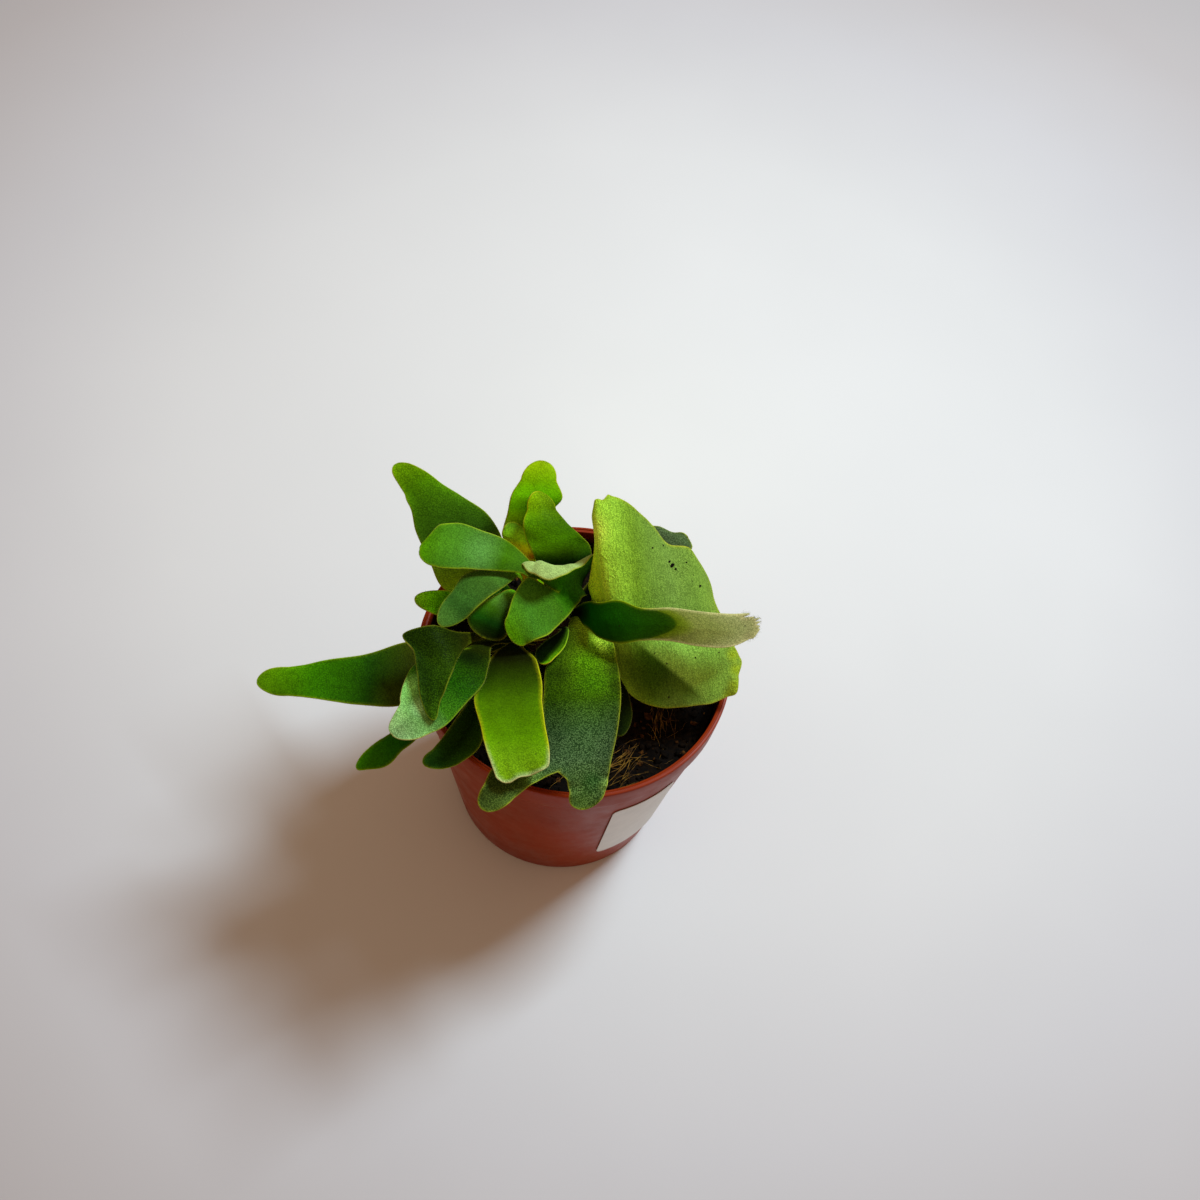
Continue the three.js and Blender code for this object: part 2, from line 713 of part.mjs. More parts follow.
// The label follows the cone of the wall
function labelGeometry() {
  const sheet = { points: [], thickness: [], quads: [] };
  const { rows, columns } = LABEL;
  for (let i = 0; i <= rows; i += 1) {
    const height = THREE.MathUtils.lerp(LABEL.top, LABEL.bottom, i / rows);
    for (let j = 0; j <= columns; j += 1) {
      const radius = wallRadius(height) + LABEL.gap + LABEL.thickness / 2;
      const offset = LABEL.width * (j / columns - 0.5) + (LABEL.lean * i) / rows;
      const angle = LABEL.azimuth * DEGREE + offset / radius;
      sheet.points.push(new THREE.Vector3(radius * Math.cos(angle), radius * Math.sin(angle), height));
      sheet.thickness.push(LABEL.thickness);
    }
  }
  const width = columns + 1;
  for (let i = 0; i < rows; i += 1) {
    for (let j = 0; j < columns; j += 1) {
      const a = i * width + j;
      sheet.quads.push([a, a + width, a + width + 1, a + 1]);
    }
  }
  return sheetSolid(sheet);
}

// A tangle: bowed strands that cross and join at its middle, lying just clear of the potting mix
function tangleGeometry({ middle, heading, strands, length }, seed) {
  const floor = SOIL.top + SEAT_GAP + COIR.radius;
  const section = new THREE.Shape();
  for (let i = 0; i < COIR.sides; i += 1) {
    const turn = ((i + 0.5) / COIR.sides) * 2 * Math.PI;
    const corner = [COIR.radius * Math.cos(turn), COIR.radius * Math.sin(turn)];
    if (i === 0) section.moveTo(...corner);
    else section.lineTo(...corner);
  }
  let solid = null;
  for (let i = 0; i < strands; i += 1) {
    const turn = (heading + COIR.fan * ((i + 0.5) / strands - 0.5)) * DEGREE;
    const reach = (length / 2) * (1 + 0.25 * noise(i, seed));
    const bow = COIR.bow * noise(i, seed, 2);
    const route = [-1, -0.5, 0, 0.5, 1].map((part) => {
      const across = bow * part * part * Math.sign(part);
      const x = middle[0] + reach * part * Math.cos(turn) - across * Math.sin(turn);
      const y = middle[1] + reach * part * Math.sin(turn) + across * Math.cos(turn);
      const rise = (1 - part * part) * (COIR.hump / 4 + COIR.lift * i);
      return new THREE.Vector3(x, y, floor + rise);
    });
    const extrudePath = new THREE.CatmullRomCurve3(route);
    const settings = { steps: COIR.steps, bevelEnabled: false, extrudePath };
    const strand = toManifold(new THREE.ExtrudeGeometry(section, settings));
    solid = solid ? solid.add(strand) : strand;
  }
  return fromManifold(solid);
}

const plant = new THREE.Group();

function addPiece(name, geometry, colour, roughness) {
  const material = new THREE.MeshStandardMaterial({ color: colour, roughness, metalness: 0 });
  const mesh = new THREE.Mesh(geometry, material);
  mesh.name = name;
  plant.add(mesh);
}

addPiece('pot', potGeometry(), '#8a4028', 0.55);
addPiece('pot_label', labelGeometry(), '#d9d6cf', 0.6);
addPiece('potting_mix', soilGeometry(), '#2b211b', 0.95);
addPiece('crown', crownGeometry(), '#5a3d24', 0.9);
Object.entries(COIR_TANGLES).forEach(([name, tangle], seed) => {
  addPiece(name, tangleGeometry(tangle, seed + 1), '#a07a3e', 0.85);
});
for (const [name, frond] of Object.entries(FRONDS)) {
  addPiece(name, frondGeometry(frond), frond.colour, 0.7);
}

export default plant;
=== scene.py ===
import math
import random

import bpy
from mathutils import Matrix, Vector, kdtree, noise


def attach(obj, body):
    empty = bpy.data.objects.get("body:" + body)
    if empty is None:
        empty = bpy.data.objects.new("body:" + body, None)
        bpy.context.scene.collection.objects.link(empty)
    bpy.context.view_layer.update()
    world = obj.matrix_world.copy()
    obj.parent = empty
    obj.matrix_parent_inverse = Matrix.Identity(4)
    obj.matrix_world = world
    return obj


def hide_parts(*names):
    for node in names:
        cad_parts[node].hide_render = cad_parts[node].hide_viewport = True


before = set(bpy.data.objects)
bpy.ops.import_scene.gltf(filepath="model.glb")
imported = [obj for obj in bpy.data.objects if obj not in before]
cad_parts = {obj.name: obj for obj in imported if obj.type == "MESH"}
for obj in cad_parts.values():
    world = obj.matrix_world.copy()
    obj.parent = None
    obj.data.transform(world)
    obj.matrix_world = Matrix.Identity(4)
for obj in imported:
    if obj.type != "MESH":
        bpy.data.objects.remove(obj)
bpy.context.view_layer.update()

bl_info = {
    "name": "Potted staghorn fern",
    "version": (1, 0, 0),
    "blender": (4, 5, 0),
    "location": "View3D > Sidebar > Fern",
    "description": "Builds the finished pieces, materials and stage of a small potted staghorn fern",
    "category": "Add Mesh",
}

# One millimetre in Blender's metres
MM = 0.001

# Top of the pot's rim, from the outside inwards: distance in from the rim's radius and down from the top
RIM_TOP = [
    (0, 1.1), (0, 0.5), (0.1, 0.15), (0.35, 0), (0.75, 0),
    (0.9, 0.25), (1.15, 0.25), (1.25, 0.1), (1.7, 0.2), (1.9, 0.6),
]

# Crown: the short scaly rhizome, in mm, and the rows of dead scales round it
CROWN = {"x": -9, "y": 9, "bottom": 58, "shoulder": 77, "top": 87, "radius": 6.5}
SCALES = {"rows": 10, "round": 13, "length": 4.2, "width": 2.8, "first": 67}

# Frond blades are laid out in rows of [left margin, right margin, arch], in mm and degrees, as on the packed
# model. The stalk starts at root [azimuth, height]. Past the last row a blade rounds off, is cut across or forks.
# colours are stops along the blade, sides are lightness across it, and dabs are soft brush marks: [centre,
# radius, colour, strength], and for a mark that ends at a fold, the way it lies from the fold, as a vector of one
# over the edge's width. The points were worked out from places picked in the photograph, and colours and sides
# were first solved by a fit to it and then changed.
SEAT_GAP = 0.3
STALK = 2.6
TIP_ROWS = 3
TIP_TURN = math.radians(82)
WAVE_SHIFT = 0.37
# Colours, sides and dabs hold painted light and shade besides each frond's own colour: the near-black stops by
# the crown and under other fronds are painted shade, sides mostly paint one side of a blade lighter and the other
# darker by how the light falls on it, dark dabs paint the shade of creases, folds and cast shadows, and light
# dabs paint light on faces that other fronds shade.
FRONDS = {
    "frond_far_left": {
        "root": (205, 72),
        "rows": [
            ((-28.5, -13, 84), (-30, -5.5, 84), 0),
            ((-36, -26.5, 87), (-39, -9, 88), -10),
            ((-44.5, -32, 88), (-48, -13, 90), -20),
            ((-55.5, -32.5, 87), (-58, -18.5, 89), -25),
            ((-66.5, -32, 85), (-69, -21, 87), -25),
            ((-76, -31, 83), (-77.5, -22.5, 84), -20),
        ],
        "tip": (-85.5, -27, 81),
        "wave": (0.7, 3.2),
        "colours": [
            (0.1, "#0e2002"), (0.27, "#303e02"), (0.45, "#2e2c02"), (0.63, "#193e02"), (0.81, "#397c02"),
            (0.98, "#588c03"),
        ],
        "sides": [(-1, 0.77), (-0.5, 0.88), (0.5, 1.05), (1, 1.45)],
        "felt": [(0, 0.5), (1, 0.4)],
        "dabs": [((-46, -30, 87.5), 9, "#3a4a06", 0.6)],
    },
    "frond_left_dark": {
        "root": (232, 82),
        "rows": [
            ((-28, -7, 86.5), (-27.5, -4, 87), 0),
            ((-30.5, -20, 99.5), (-33.5, -12.5, 99.5), -10),
            ((-31, -25.8, 102.6), (-39.5, -15.1, 104.4), -25),
            ((-31.6, -29.5, 103), (-46.5, -18.2, 102.7), -30),
            ((-32.1, -33, 103), (-43.1, -22, 103), -25),
            ((-32.1, -36, 102), (-40.1, -30.5, 102.4), -20),
        ],
        "tip": (-34.6, -41.1, 100.4),
        "pulls": [
            ((-32, -38.5, 101.6), 6, (-1.3, 0.4, 0)),
        ],
        "wave": (0.4, 2.1),
        "colours": [
            (0.3, "#424c03"), (0.4, "#2a2e04"), (0.5, "#202a04"), (0.58, "#1c2a02"), (0.67, "#1e3402"),
            (0.85, "#1c3602"), (0.96, "#284604"),
        ],
        "sides": [(-1, 1.45), (-0.5, 1.3), (0, 0.95), (0.5, 0.8), (1, 0.9)],
        "rim": (0.6, [(0, "#5c6a10")], 0.3),
        "felt": [(0, 0.85), (1, 0.85)],
    },
    "frond_left_pale": {
        "root": (242, 75),
        "rows": [
            ((-22.5, -7, 86), (-26.5, -6, 85), 0),
            ((-22.5, -17.5, 94.5), (-33, -15.5, 93), 20),
            ((-23, -27.5, 98.5), (-38, -19.5, 96), 30),
            ((-26.5, -35, 99.5), (-42.5, -23.5, 97), 30),
            ((-30.5, -41.5, 99.5), (-44, -29.5, 97.5), 20),
            ((-35, -44.5, 98), (-44, -36.5, 97.5), 10),
        ],
        "tip": (-44.5, -45, 96),
        "pulls": [
            ((-46, -39, 97), 5, (1.2, 0, 0.5)),
        ],
        "wave": (0.5, 2.4),
        "colours": [
            (0.15, "#061402"), (0.31, "#222c02"), (0.43, "#1e2802"), (0.56, "#1e3c02"), (0.68, "#1e4e02"),
            (0.79, "#3a720e"), (0.9, "#7ab05c"), (0.98, "#8ebc74"),
        ],
        "sides": [(-1, 1.05), (-0.5, 0.9), (0, 0.9), (0.5, 1.25), (1, 1.6)],
        "rim": (0.6, [(0, "#6a7a12")], 0.3),
        "felt": [(0, 0.7), (0.7, 0.8), (0.85, 0.55), (1, 0.55)],
        "dabs": [
            # Near-black dab: painted shade by the stalk; the two pale green dabs: painted light over
            # frond_left_dark's shadow
            ((-28.5, -18, 95.5), 7, "#040c02", 0.75),
            ((-30, -12.4, 91), 2.2, "#6a8408", 0.9),
            ((-42, -31, 98.6), 5.5, "#94e870", 0.9),
            ((-38.2, -37.5, 99.5), 4, "#a8e890", 0.8),
        ],
    },
    "frond_front_bright": {
        "root": (264, 79),
        "rows": [
            ((-14.5, -6, 87), (-19.5, -5, 84), 10),
            ((-10, -15, 95), (-23, -13, 87), 10),
            ((-7.5, -23, 98), (-24.5, -22.5, 91.5), 0),
            ((-6.5, -31, 101.5), (-24.5, -32, 97), -10),
            ((-4.5, -40, 104.5), (-21.5, -41, 101), -25),
            ((-2.5, -48, 107), (-19, -49, 104), -30),
            ((-1.5, -54, 107), (-15, -57.5, 105), -30),
        ],
        "pulls": [
            ((-2, -54, 107), 1.8, (-0.4, 0.5, -0.2)),
        ],
        "wave": (0.6, 3.3),
        "crimp": 0.8,
        "cut": [
            (-1, -0.3), (-0.9, 0.2), (-0.1, 0.5), (0.15, 0.8), (0.5, 1.8), (0.75, 1.6), (0.93, 0.7), (1, 0),
        ],
        "colours": [
            (0.18, "#0e1802"), (0.34, "#191e02"), (0.5, "#345002"), (0.66, "#4c7602"), (0.82, "#5a8c02"),
            (0.98, "#709c0e"),
        ],
        "sides": [(-1, 1.22), (-0.5, 0.94), (0.5, 0.94), (1, 1.2)],
        "rim": (1.2, [(0.85, "#b0b410"), (0.95, "#cdd8a0")], 0.6),
        "felt": [(0, 0.3), (0.8, 0.25), (1, 0.5)],
    },
    "frond_front_forked": {
        "root": (318, 74),
        "rows": [
            ((-0.3, 5.5, 88), (-2.5, 5.2, 87), 10),
            ((9.5, -4, 93.5), (-4, -2.5, 86.5), 40),
            ((11.6, -10.5, 94.8), (-7, -10, 88), 35),
            ((14.2, -23, 97), (-6.5, -26.5, 95), 0),
            ((14.6, -35.5, 97), (-6, -41, 98), -20),
            ((14, -44, 96), (-9.5, -49, 99.5), -20),
        ],
        "fork": (0.5, -50, 98.5),
        "lobes": [
            {
                "rows": [
                    ((14, -48, 95), (3, -51, 97), -15),
                    ((13.8, -51, 94), (4.3, -53.5, 95), -10),
                ],
                "tip": (8.5, -57, 93),
            },
            {
                "rows": [
                    ((-4, -54, 100), (-16.3, -53, 101), -10),
                    ((-9.5, -60, 100), (-18, -58.5, 101), -10),
                ],
                "tip": (-16.6, -64.6, 99),
            },
        ],
        "wave": (0.5, 3.1),
        # The stop at 0.2 is painted light where frond_right_felted shades the blade; the first stop is painted
        # shade
        "colours": [
            (0.12, "#1c2c0c"), (0.2, "#98c428"), (0.3, "#5e8410"), (0.41, "#406204"), (0.51, "#325203"),
            (0.62, "#2c4a1f"), (0.73, "#324c26"), (0.85, "#38541e"), (0.95, "#4a6022"),
        ],
        "sides": [(-1, 0.62), (-0.4, 1.12), (0.1, 1), (0.5, 0.68), (1, 0.5)],
        "felt": [(0, 0.9), (0.5, 0.9), (0.65, 1.0), (0.85, 1.0), (1, 0.7)],
        "dabs": [
            ((10, -50, 96), 4.5, "#1c4a14", 0.7),
            ((3.8, -12.4, 94.6), 7, "#4a8404", 0.6),
            ((6, -20, 96.4), 7, "#3c7004", 0.6),
            ((-3.7, -17, 94), 6, "#1a2806", 0.5),
            # Painted shade of the right part, which curls down away from the light
            ((11.8, -14, 96), 4, "#1c2402", 0.7),
            ((12.8, -20, 97), 4, "#1c2402", 0.6),
            # Painted light on the facet that frond_right_felted shades, then painted shade along the crease
            # beside it
            ((4.9, -5.6, 94.2), 6.5, "#b4dc38", 0.85, (0.66, 0.42, 0.27)),
            ((4.4, -6.2, 94.1), 2.6, "#1c2804", 0.7, (-0.66, -0.42, -0.27)),
            ((-6.4, -53.1, 100.1), 4.5, "#6c9436", 0.7),
            ((14, -50, 95), 3, "#80a848", 0.6),
        ],
    },
    "frond_front_sliver": {
        "root": (296, 83),
        "rows": [
            ((-2.5, -2.5, 92.5), (-5, -2.5, 91.5), -20),
            ((-3, -8.5, 94), (-8.6, -5.8, 90.5), -60),
            ((-5.5, -13, 94), (-10.6, -8.8, 90), -60),
        ],
        "tip": (-9, -14, 91.5),
        "rim": (0.5, [(0, "#5c7c10")], 0.2),
        "wave": (0.2, 1.5),
        "colours": [(0.25, "#0c1802"), (0.6, "#182c02"), (0.95, "#2f5402")],
        # sides paint the margin at -1 lit and the rest of the blade in the shade of the fronds above it
        "sides": [(-1, 8), (-0.6, 5), (-0.35, 0.8), (0, 0.12), (1, 0.04)],
        "felt": [(0, 0.3), (1, 0.6)],
    },
    "frond_centre_forked": {
        "root": (28, 82),
        "flip": True,
        "rows": [
            ((0.5, 11.5, 90), (1.5, 16.5, 101.5), -120),
            ((-1, 7.5, 92.5), (-3, 10, 104.5), -165),
        ],
        "fork": (-7, 7, 96),
        "lobes": [
            {
                "rows": [
                    ((-3.5, 0, 95.5), (-9, 7.5, 97), -20),
                    ((-6.5, -6, 97.5), (-12.5, 8.5, 97.5), -20),
                    ((-8.5, -9, 98), (-16, 10, 97), -20),
                    ((-11.5, -10.5, 97), (-19, 4.5, 97), -20),
                    ((-13.5, -10.8, 95.5), (-20, -3.5, 96), -15),
                ],
                "tip": (-18.2, -9.2, 94.5),
            },
            {
                "rows": [
                    ((-10, 8.5, 96), (-6.5, 6.5, 105), -150),
                    ((-13, 10, 96), (-9.5, 5, 105), -150),
                    ((-15.5, 10.5, 96.5), (-13, 5.5, 104.5), -160),
                    ((-17, 10.5, 98), (-15.5, 7, 103.5), -160),
                ],
                "tip": (-18, 10, 101.5),
            },
        ],
        "wave": (0.3, 2.2),
        "colours": [
            (0.2, "#041002"), (0.34, "#46901c"), (0.5, "#307c02"), (0.65, "#406e0e"), (0.81, "#4a8620"),
            (0.97, "#528c02"),
        ],
        "sides": [(-1, 0.86), (0, 0.96), (0.5, 1.4), (1, 1.2)],
        "under": [(0, "#7f9658"), (0.5, "#a4be6c"), (1, "#a8c470")],
        "felt": [(0, 0.4), (1, 0.4)],
        "pulls": [
            ((-6, 11, 102.5), 4, (-0.2, 1.1, 0.7)),
            ((-17, 10, 102), 3, (-0.3, 0.9, 0.5)),
            ((-14.2, 10.6, 103.2), 2.8, (-0.1, 0.4, 0.3)),
            ((1, 16, 103), 5, (0.3, 1, 0.6)),
        ],
    },
    "frond_left_upper": {
        "root": (150, 83),
        "rows": [
            ((-16.5, 12, 94), (-15, 15, 95), 0),
            ((-24, 9, 99.5), (-23, 18, 101), -10),
            ((-32, 7, 101), (-30.5, 19, 103), -25),
            ((-37.5, 5.5, 102), (-37, 20, 104), -30),
            ((-42, 5.5, 102), (-42, 18.5, 104), -25),
        ],
        "tip": (-47.5, 10.5, 101.5),
        "pulls": [
            ((-48, 11, 102), 6, (0.6, 0, 0.1)),
            ((-46, 16, 103), 5, (0.8, -0.8, -0.1)),
            ((-45, 6, 102), 5, (0.7, 0.7, 0.2)),
        ],
        "wave": (0.4, 2.3),
        "colours": [
            (0.35, "#467514"), (0.47, "#3f7005"), (0.6, "#548a30"), (0.72, "#498120"), (0.97, "#4d8a02"),
        ],
        "sides": [(-1, 0.71), (0, 1.1), (1, 1)],
        "felt": [(0, 0.3), (1, 0.35)],
        # Painted sheen in the middle of the blade
        "dabs": [((-30, 13, 103), 7, "#62a048", 0.5)],
    },
    "frond_left_ovate": {
        "root": (180, 78),
        "rows": [
            ((-18.5, 13.5, 90), (-19, 15, 91), 0),
            ((-22, 6.5, 96), (-27.5, 10.5, 97), 10),
            ((-25.5, 1.5, 97), (-34, 7, 97.5), 15),
            ((-29, -3, 96.5), (-36.5, 2, 96), 10),
        ],
        "tip": (-38, -7, 92),
        "wave": (0.3, 2.1),
        "colours": [
            (0.35, "#7cbb10"), (0.47, "#528228"), (0.62, "#3f661c"), (0.85, "#386a24"), (0.97, "#5e9838"),
        ],
        "sides": [(-1, 0.73), (0, 1.04), (1, 1.16)],
        "felt": [(0, 0.3), (1, 0.35)],
    },
    "frond_left_small": {
        "root": (184, 73),
        "rows": [
            ((-27.5, 3.5, 82), (-28.5, 9.5, 82), 0),
            ((-36, 0, 85), (-37, 8.5, 86), -10),
        ],
        "tip": (-47, 3.5, 87),
        "wave": (0.3, 1.6),
        "colours": [(0.74, "#4a9802"), (0.86, "#70dc04"), (0.97, "#82e01a")],
        "sides": [(-1, 0.71), (0, 1), (1, 1.18)],
        "felt": [(0, 0.3), (1, 0.6)],
    },
    "frond_under_centre": {
        "root": (212, 77),
        "rows": [
            ((-16.5, 5.5, 89), (-20, 9, 91), 0),
            ((-18.5, -2, 92), (-26.5, 2.5, 93.5), -20),
            ((-19, -6.5, 92.5), (-31, -3, 93), -30),
        ],
        "tip": (-25.5, -8, 90.5),
        "wave": (0.3, 1.8),
        "colours": [
            (0.45, "#59a008"), (0.6, "#548028"), (0.72, "#335903"), (0.84, "#113e02"), (0.97, "#182202"),
        ],
        "sides": [(-1, 0.37), (0, 0.74), (1, 2)],
        "felt": [(0, 0.2), (1, 0.2)],
    },
    "frond_back_left": {
        "root": (150, 72.5),
        "rows": [
            ((-30, 11.5, 77), (-25, 22, 79), 0),
            ((-40.5, 12.5, 81), (-25.5, 26.5, 84), 10),
            ((-45.5, 18, 86), (-26, 28, 88.5), 15),
            ((-50.5, 24.5, 90), (-31, 32, 93), 15),
            ((-53, 30.5, 92), (-38, 34.5, 95.5), 10),
            ((-56, 34, 93), (-46, 38.5, 96), 0),
        ],
        "tip": (-61, 44, 94),
        "pulls": [
            ((-62, 42, 94), 9, (1.8, -0.3, 0.4)),
            ((-58, 36, 93), 6, (1.1, 0.3, 0.4)),
        ],
        "wave": (0.5, 3.2),
        "colours": [
            (0.18, "#2d7808"), (0.34, "#586602"), (0.5, "#2c4d0a"), (0.66, "#3a6608"), (0.82, "#497a02"),
            (0.98, "#679803"),
        ],
        "sides": [(-1, 1.38), (-0.5, 0.9), (0.5, 0.95), (1, 1.4)],
        "felt": [(0, 0.3), (1, 0.5)],
    },
    "frond_back_bright": {
        "root": (104, 73),
        "rows": [
            ((-21, 21, 85), (-14, 24, 85), 0),
            ((-25.5, 25.5, 92), (-13.5, 28.5, 92), 15),
            ((-25, 29.5, 99), (-12.5, 31, 100), 20),
            ((-24.5, 32, 104), (-10, 33.5, 104), 20),
            ((-22.5, 35.5, 107), (-12.5, 37, 107), 15),
        ],
        "tip": (-17.5, 41, 110),
        "wave": (0.4, 2.6),
        "colours": [(0.58, "#a0e008"), (0.71, "#76de04"), (0.84, "#74bd02"), (0.98, "#9cc605")],
        "sides": [(-1, 1.26), (0, 0.87), (1, 0.96)],
        "felt": [(0, 0.2), (1, 0.2)],
    },
    "frond_yellowed": {
        "root": (124, 78),
        "rows": [
            ((-20, 17.5, 88), (-15, 20, 88), 0),
            ((-23.5, 21, 93.5), (-15.5, 19.5, 94), 10),
            ((-25.5, 22.5, 97), (-18, 22, 97), 15),
        ],
        "tip": (-22.5, 26, 99.5),
        "wave": (0.3, 1.4),
        # Yellows at full strength and the gain of 1.8 on the right side paint light on a blade that
        # frond_back_centre shades
        "colours": [
            (0.35, "#ffd818"), (0.58, "#ffec20"), (0.71, "#fcff10"), (0.83, "#a0ec1c"), (0.96, "#66a01a"),
        ],
        "sides": [(0, 1), (1, 1.8)],
        "felt": [(0, 0.2), (1, 0.3)],
        "dabs": [((-16, 19.5, 93.5), 2.6, "#ff9808", 1)],
    },
    "frond_back_centre": {
        "root": (80, 79),
        "rows": [
            ((-11, 18, 86), (-3.5, 20.5, 86), 20),
            ((-14.5, 17.5, 93.5), (0, 24, 91.5), 50),
            ((-16.5, 18.5, 98), (-0.5, 25, 95), 55),
            ((-18.5, 20.5, 101), (-3, 25.5, 98), 50),
            ((-20, 23.5, 103.5), (-6, 26, 101), 40),
            ((-19, 27, 105.5), (-11.5, 29.5, 103.5), 25),
        ],
        "tip": (-17, 32.5, 107),
        "wave": (0.8, 3.4),
        "colours": [
            (0.4, "#1e4708"), (0.51, "#467202"), (0.63, "#508802"), (0.74, "#477602"), (0.85, "#5f8c02"),
            (0.96, "#7ba705"),
        ],
        "sides": [(-1, 1.6), (0, 0.9), (1, 0.6)],
        "felt": [(0, 0.3), (1, 0.4)],
    },
    "frond_right_felted": {
        "root": (352, 84),
        "rows": [
            ((1.5, 7.5, 93), (2, 0, 91.5), 10),
            ((5, 1.5, 103), (6.5, -7, 98), 25),
            ((10, 0.5, 107), (12, -9.5, 101), 30),
            ((16, -1.5, 108), (17.5, -8.5, 102.5), 25),
            ((24, 0, 108), (25, -7, 102), 20),
            ((32, 1.5, 106), (33.5, -6, 100), 10),
            ((40.5, 3.5, 104), (42, -4, 99), 0),
            ((45.5, 5.5, 102.5), (49, 1.5, 98), 0),
        ],
        "wave": (0.2, 2.2),
        "fine": 2.4,
        "cut": [
            (-1, 0.2), (-0.88, 0.5), (-0.74, -2.8), (-0.58, 2.2), (-0.47, 0.6), (-0.34, 3.4), (-0.19, 1),
            (-0.05, 3), (0.1, 1.1), (0.28, 2.3), (0.4, 1.5), (0.55, 1.8), (0.8, 0.6), (1, -0.6),
        ],
        "pulls": [((49, 1, 98), 2.5, (-0.3, -0.8, 0))],
        "tongue": (-0.05, 0.125),
        "rim": (0.8, [(0.6, "#7c9410"), (0.7, "#d8cc90")], 0.6),
        # The near-black first stops, here and in under, are painted shade by the crown
        "colours": [
            (0.1, "#020602"), (0.17, "#0a3c00"), (0.25, "#0a5a00"), (0.45, "#154800"), (0.6, "#1e4200"),
            (0.632, "#2a4802"), (0.645, "#5c7008"), (0.68, "#6c7c1c"), (0.72, "#7c843a"), (0.8, "#828a42"),
            (0.93, "#94985a"), (1, "#9c9a60"),
        ],
        "under": [(0, "#0a1402"), (0.3, "#1c2c08"), (0.6, "#8f9c62")],
        "felt": [(0, 0.15), (0.66, 0.2), (0.72, 0.3), (1, 0.35)],
        "sides": [(-1, 1.35), (-0.8, 1), (1, 1)],
    },
    "shield_frond": {
        "root": (0, 76),
        "heading": (1, 0, 0),
        "fine": 1.4,
        "steps": 1,
        "rows": [
            ((2.5, 11, 90), (6, 6, 83), 10),
            ((1, 10, 97), (10, 0.5, 83), 20),
            ((1, 13.5, 102), (12.5, -3.5, 82), 30),
            ((1, 18, 106), (13, -6, 81.5), 40),
            ((0, 21, 110), (14, -8.5, 81), 45),
            ((-1, 24, 113), (15.5, -10.5, 80.5), 50),
            ((-0.5, 26.5, 115), (17, -12.5, 80), 50),
            ((2.5, 28, 116), (20, -14, 79.5), 50),
            ((7.5, 28.5, 114), (23.5, -14.5, 79), 50),
            ((12, 27.5, 111), (27, -14.5, 78.5), 45),
            ((16, 26, 108), (31.5, -13.5, 78.5), 40),
            ((21, 23.5, 104), (36, -12, 78.5), 35),
            ((27.5, 25, 101), (40, -11, 79), 30),
            ((32.5, 20, 96), (44, -8.5, 79.5), 25),
            ((37, 14, 92), (46.5, -7.5, 80.5), 20),
            ((40.5, 9.5, 90), (46.5, -3.5, 82.5), 10),
        ],
        "pulls": [
            ((45, 0, 85), 4.5, (1.9, 1.2, -0.3)),
            ((43, 3, 87), 4, (1, 0.6, -0.2)),
            ((33, 19, 96), 8, (1, 1.4, -1.3)),
            ((-0.5, 25.8, 115.4), 1.4, (-0.3, 0.5, 0.3)),
            ((1.4, 27.2, 115.9), 1.5, (0.1, -0.9, -0.5)),
            ((2.6, 27.9, 116.1), 1.2, (-0.1, 0.5, 0.3)),
            ((25, -5, 91), 7, (0.2, 0.2, 1)),
            ((31, -7, 87), 7, (0.3, 0.3, 1)),
            ((22, -13, 84), 7, (0.2, 0.3, -1.2)),
        ],
        "wave": (0.3, 5.2),
        "rim": (1.2, [(0, "#a8b424")], 0.45),
        # The near-black first stops, here and in under, are painted shade by the crown; the bright stops from 0.2
        # to 0.45 paint light on the left side, which curves away from the window
        "colours": [
            (0.1, "#081202"), (0.2, "#90cc18"), (0.3, "#ccff30"), (0.38, "#ccff3c"), (0.45, "#a0d238"),
            (0.54, "#6e9222"), (0.62, "#6c8e30"), (0.72, "#72933a"), (0.83, "#729434"), (0.95, "#7a9834"),
        ],
        "sides": [(0.2, 1), (0.5, 1.12)],
        "under": [(0.1, "#141c06"), (0.3, "#8f9c62"), (1, "#98a56c")],
        "felt": [(0, 0.5), (1, 0.4)],
        "dabs": [
            # Painted shade of the lower fold, which faces away from the window
            ((17.5, -8, 90), 9, "#4c6606", 0.7),
            ((22, -11.5, 85), 8.5, "#46620a", 0.7),
            ((36, -5, 86), 13, "#98ce4c", 0.8),
            # Painted light on the left edge, which curves away from the window
            ((-0.5, 19, 110), 7, "#f0fc60", 0.6),
            # Painted light on the lit side of the ridge, then painted shade on its shaded side and down to the
            # lower margin
            ((24.1, -7, 90.4), 17, "#a4d850", 0.6, (0.45, 0.66, 0.42)),
            ((24.1, -7, 90.4), 17, "#305006", 0.95, (-0.45, -0.5, -0.46)),
            ((33, -9.4, 84), 8, "#46600a", 0.8, (-0.45, -0.5, -0.46)),
            ((44, 1.5, 86.2), 3, "#98ac18", 0.8),
            ((45.5, -2, 84.3), 3, "#98ac18", 0.8),
            ((45.8, -5.9, 82.5), 3, "#98ac18", 0.8),
            ((44.8, -8.2, 80.3), 3, "#98ac18", 0.8),
        ],
    },
    "frond_back_right": {
        "root": (46, 73),
        "rows": [
            ((1, 24, 79), (8, 19, 78), 0),
            ((8, 34.5, 84), (17, 24, 82), 10),
            ((14.5, 40, 87), (23.5, 30.5, 85), 10),
            ((18.5, 40, 88.5), (27, 33.5, 87), 0),
        ],
        "tip": (28, 37, 89),
        "pulls": [
            ((22, 40, 89), 4, (0.5, -1.3, -0.4)),
            ((29, 36, 89), 3.5, (-0.9, 0, -0.2)),
        ],
        "wave": (0.4, 2.2),
        # The near-black stops are painted shade behind shield_frond
        "colours": [(0.5, "#030602"), (0.75, "#485538"), (1, "#62804a")],
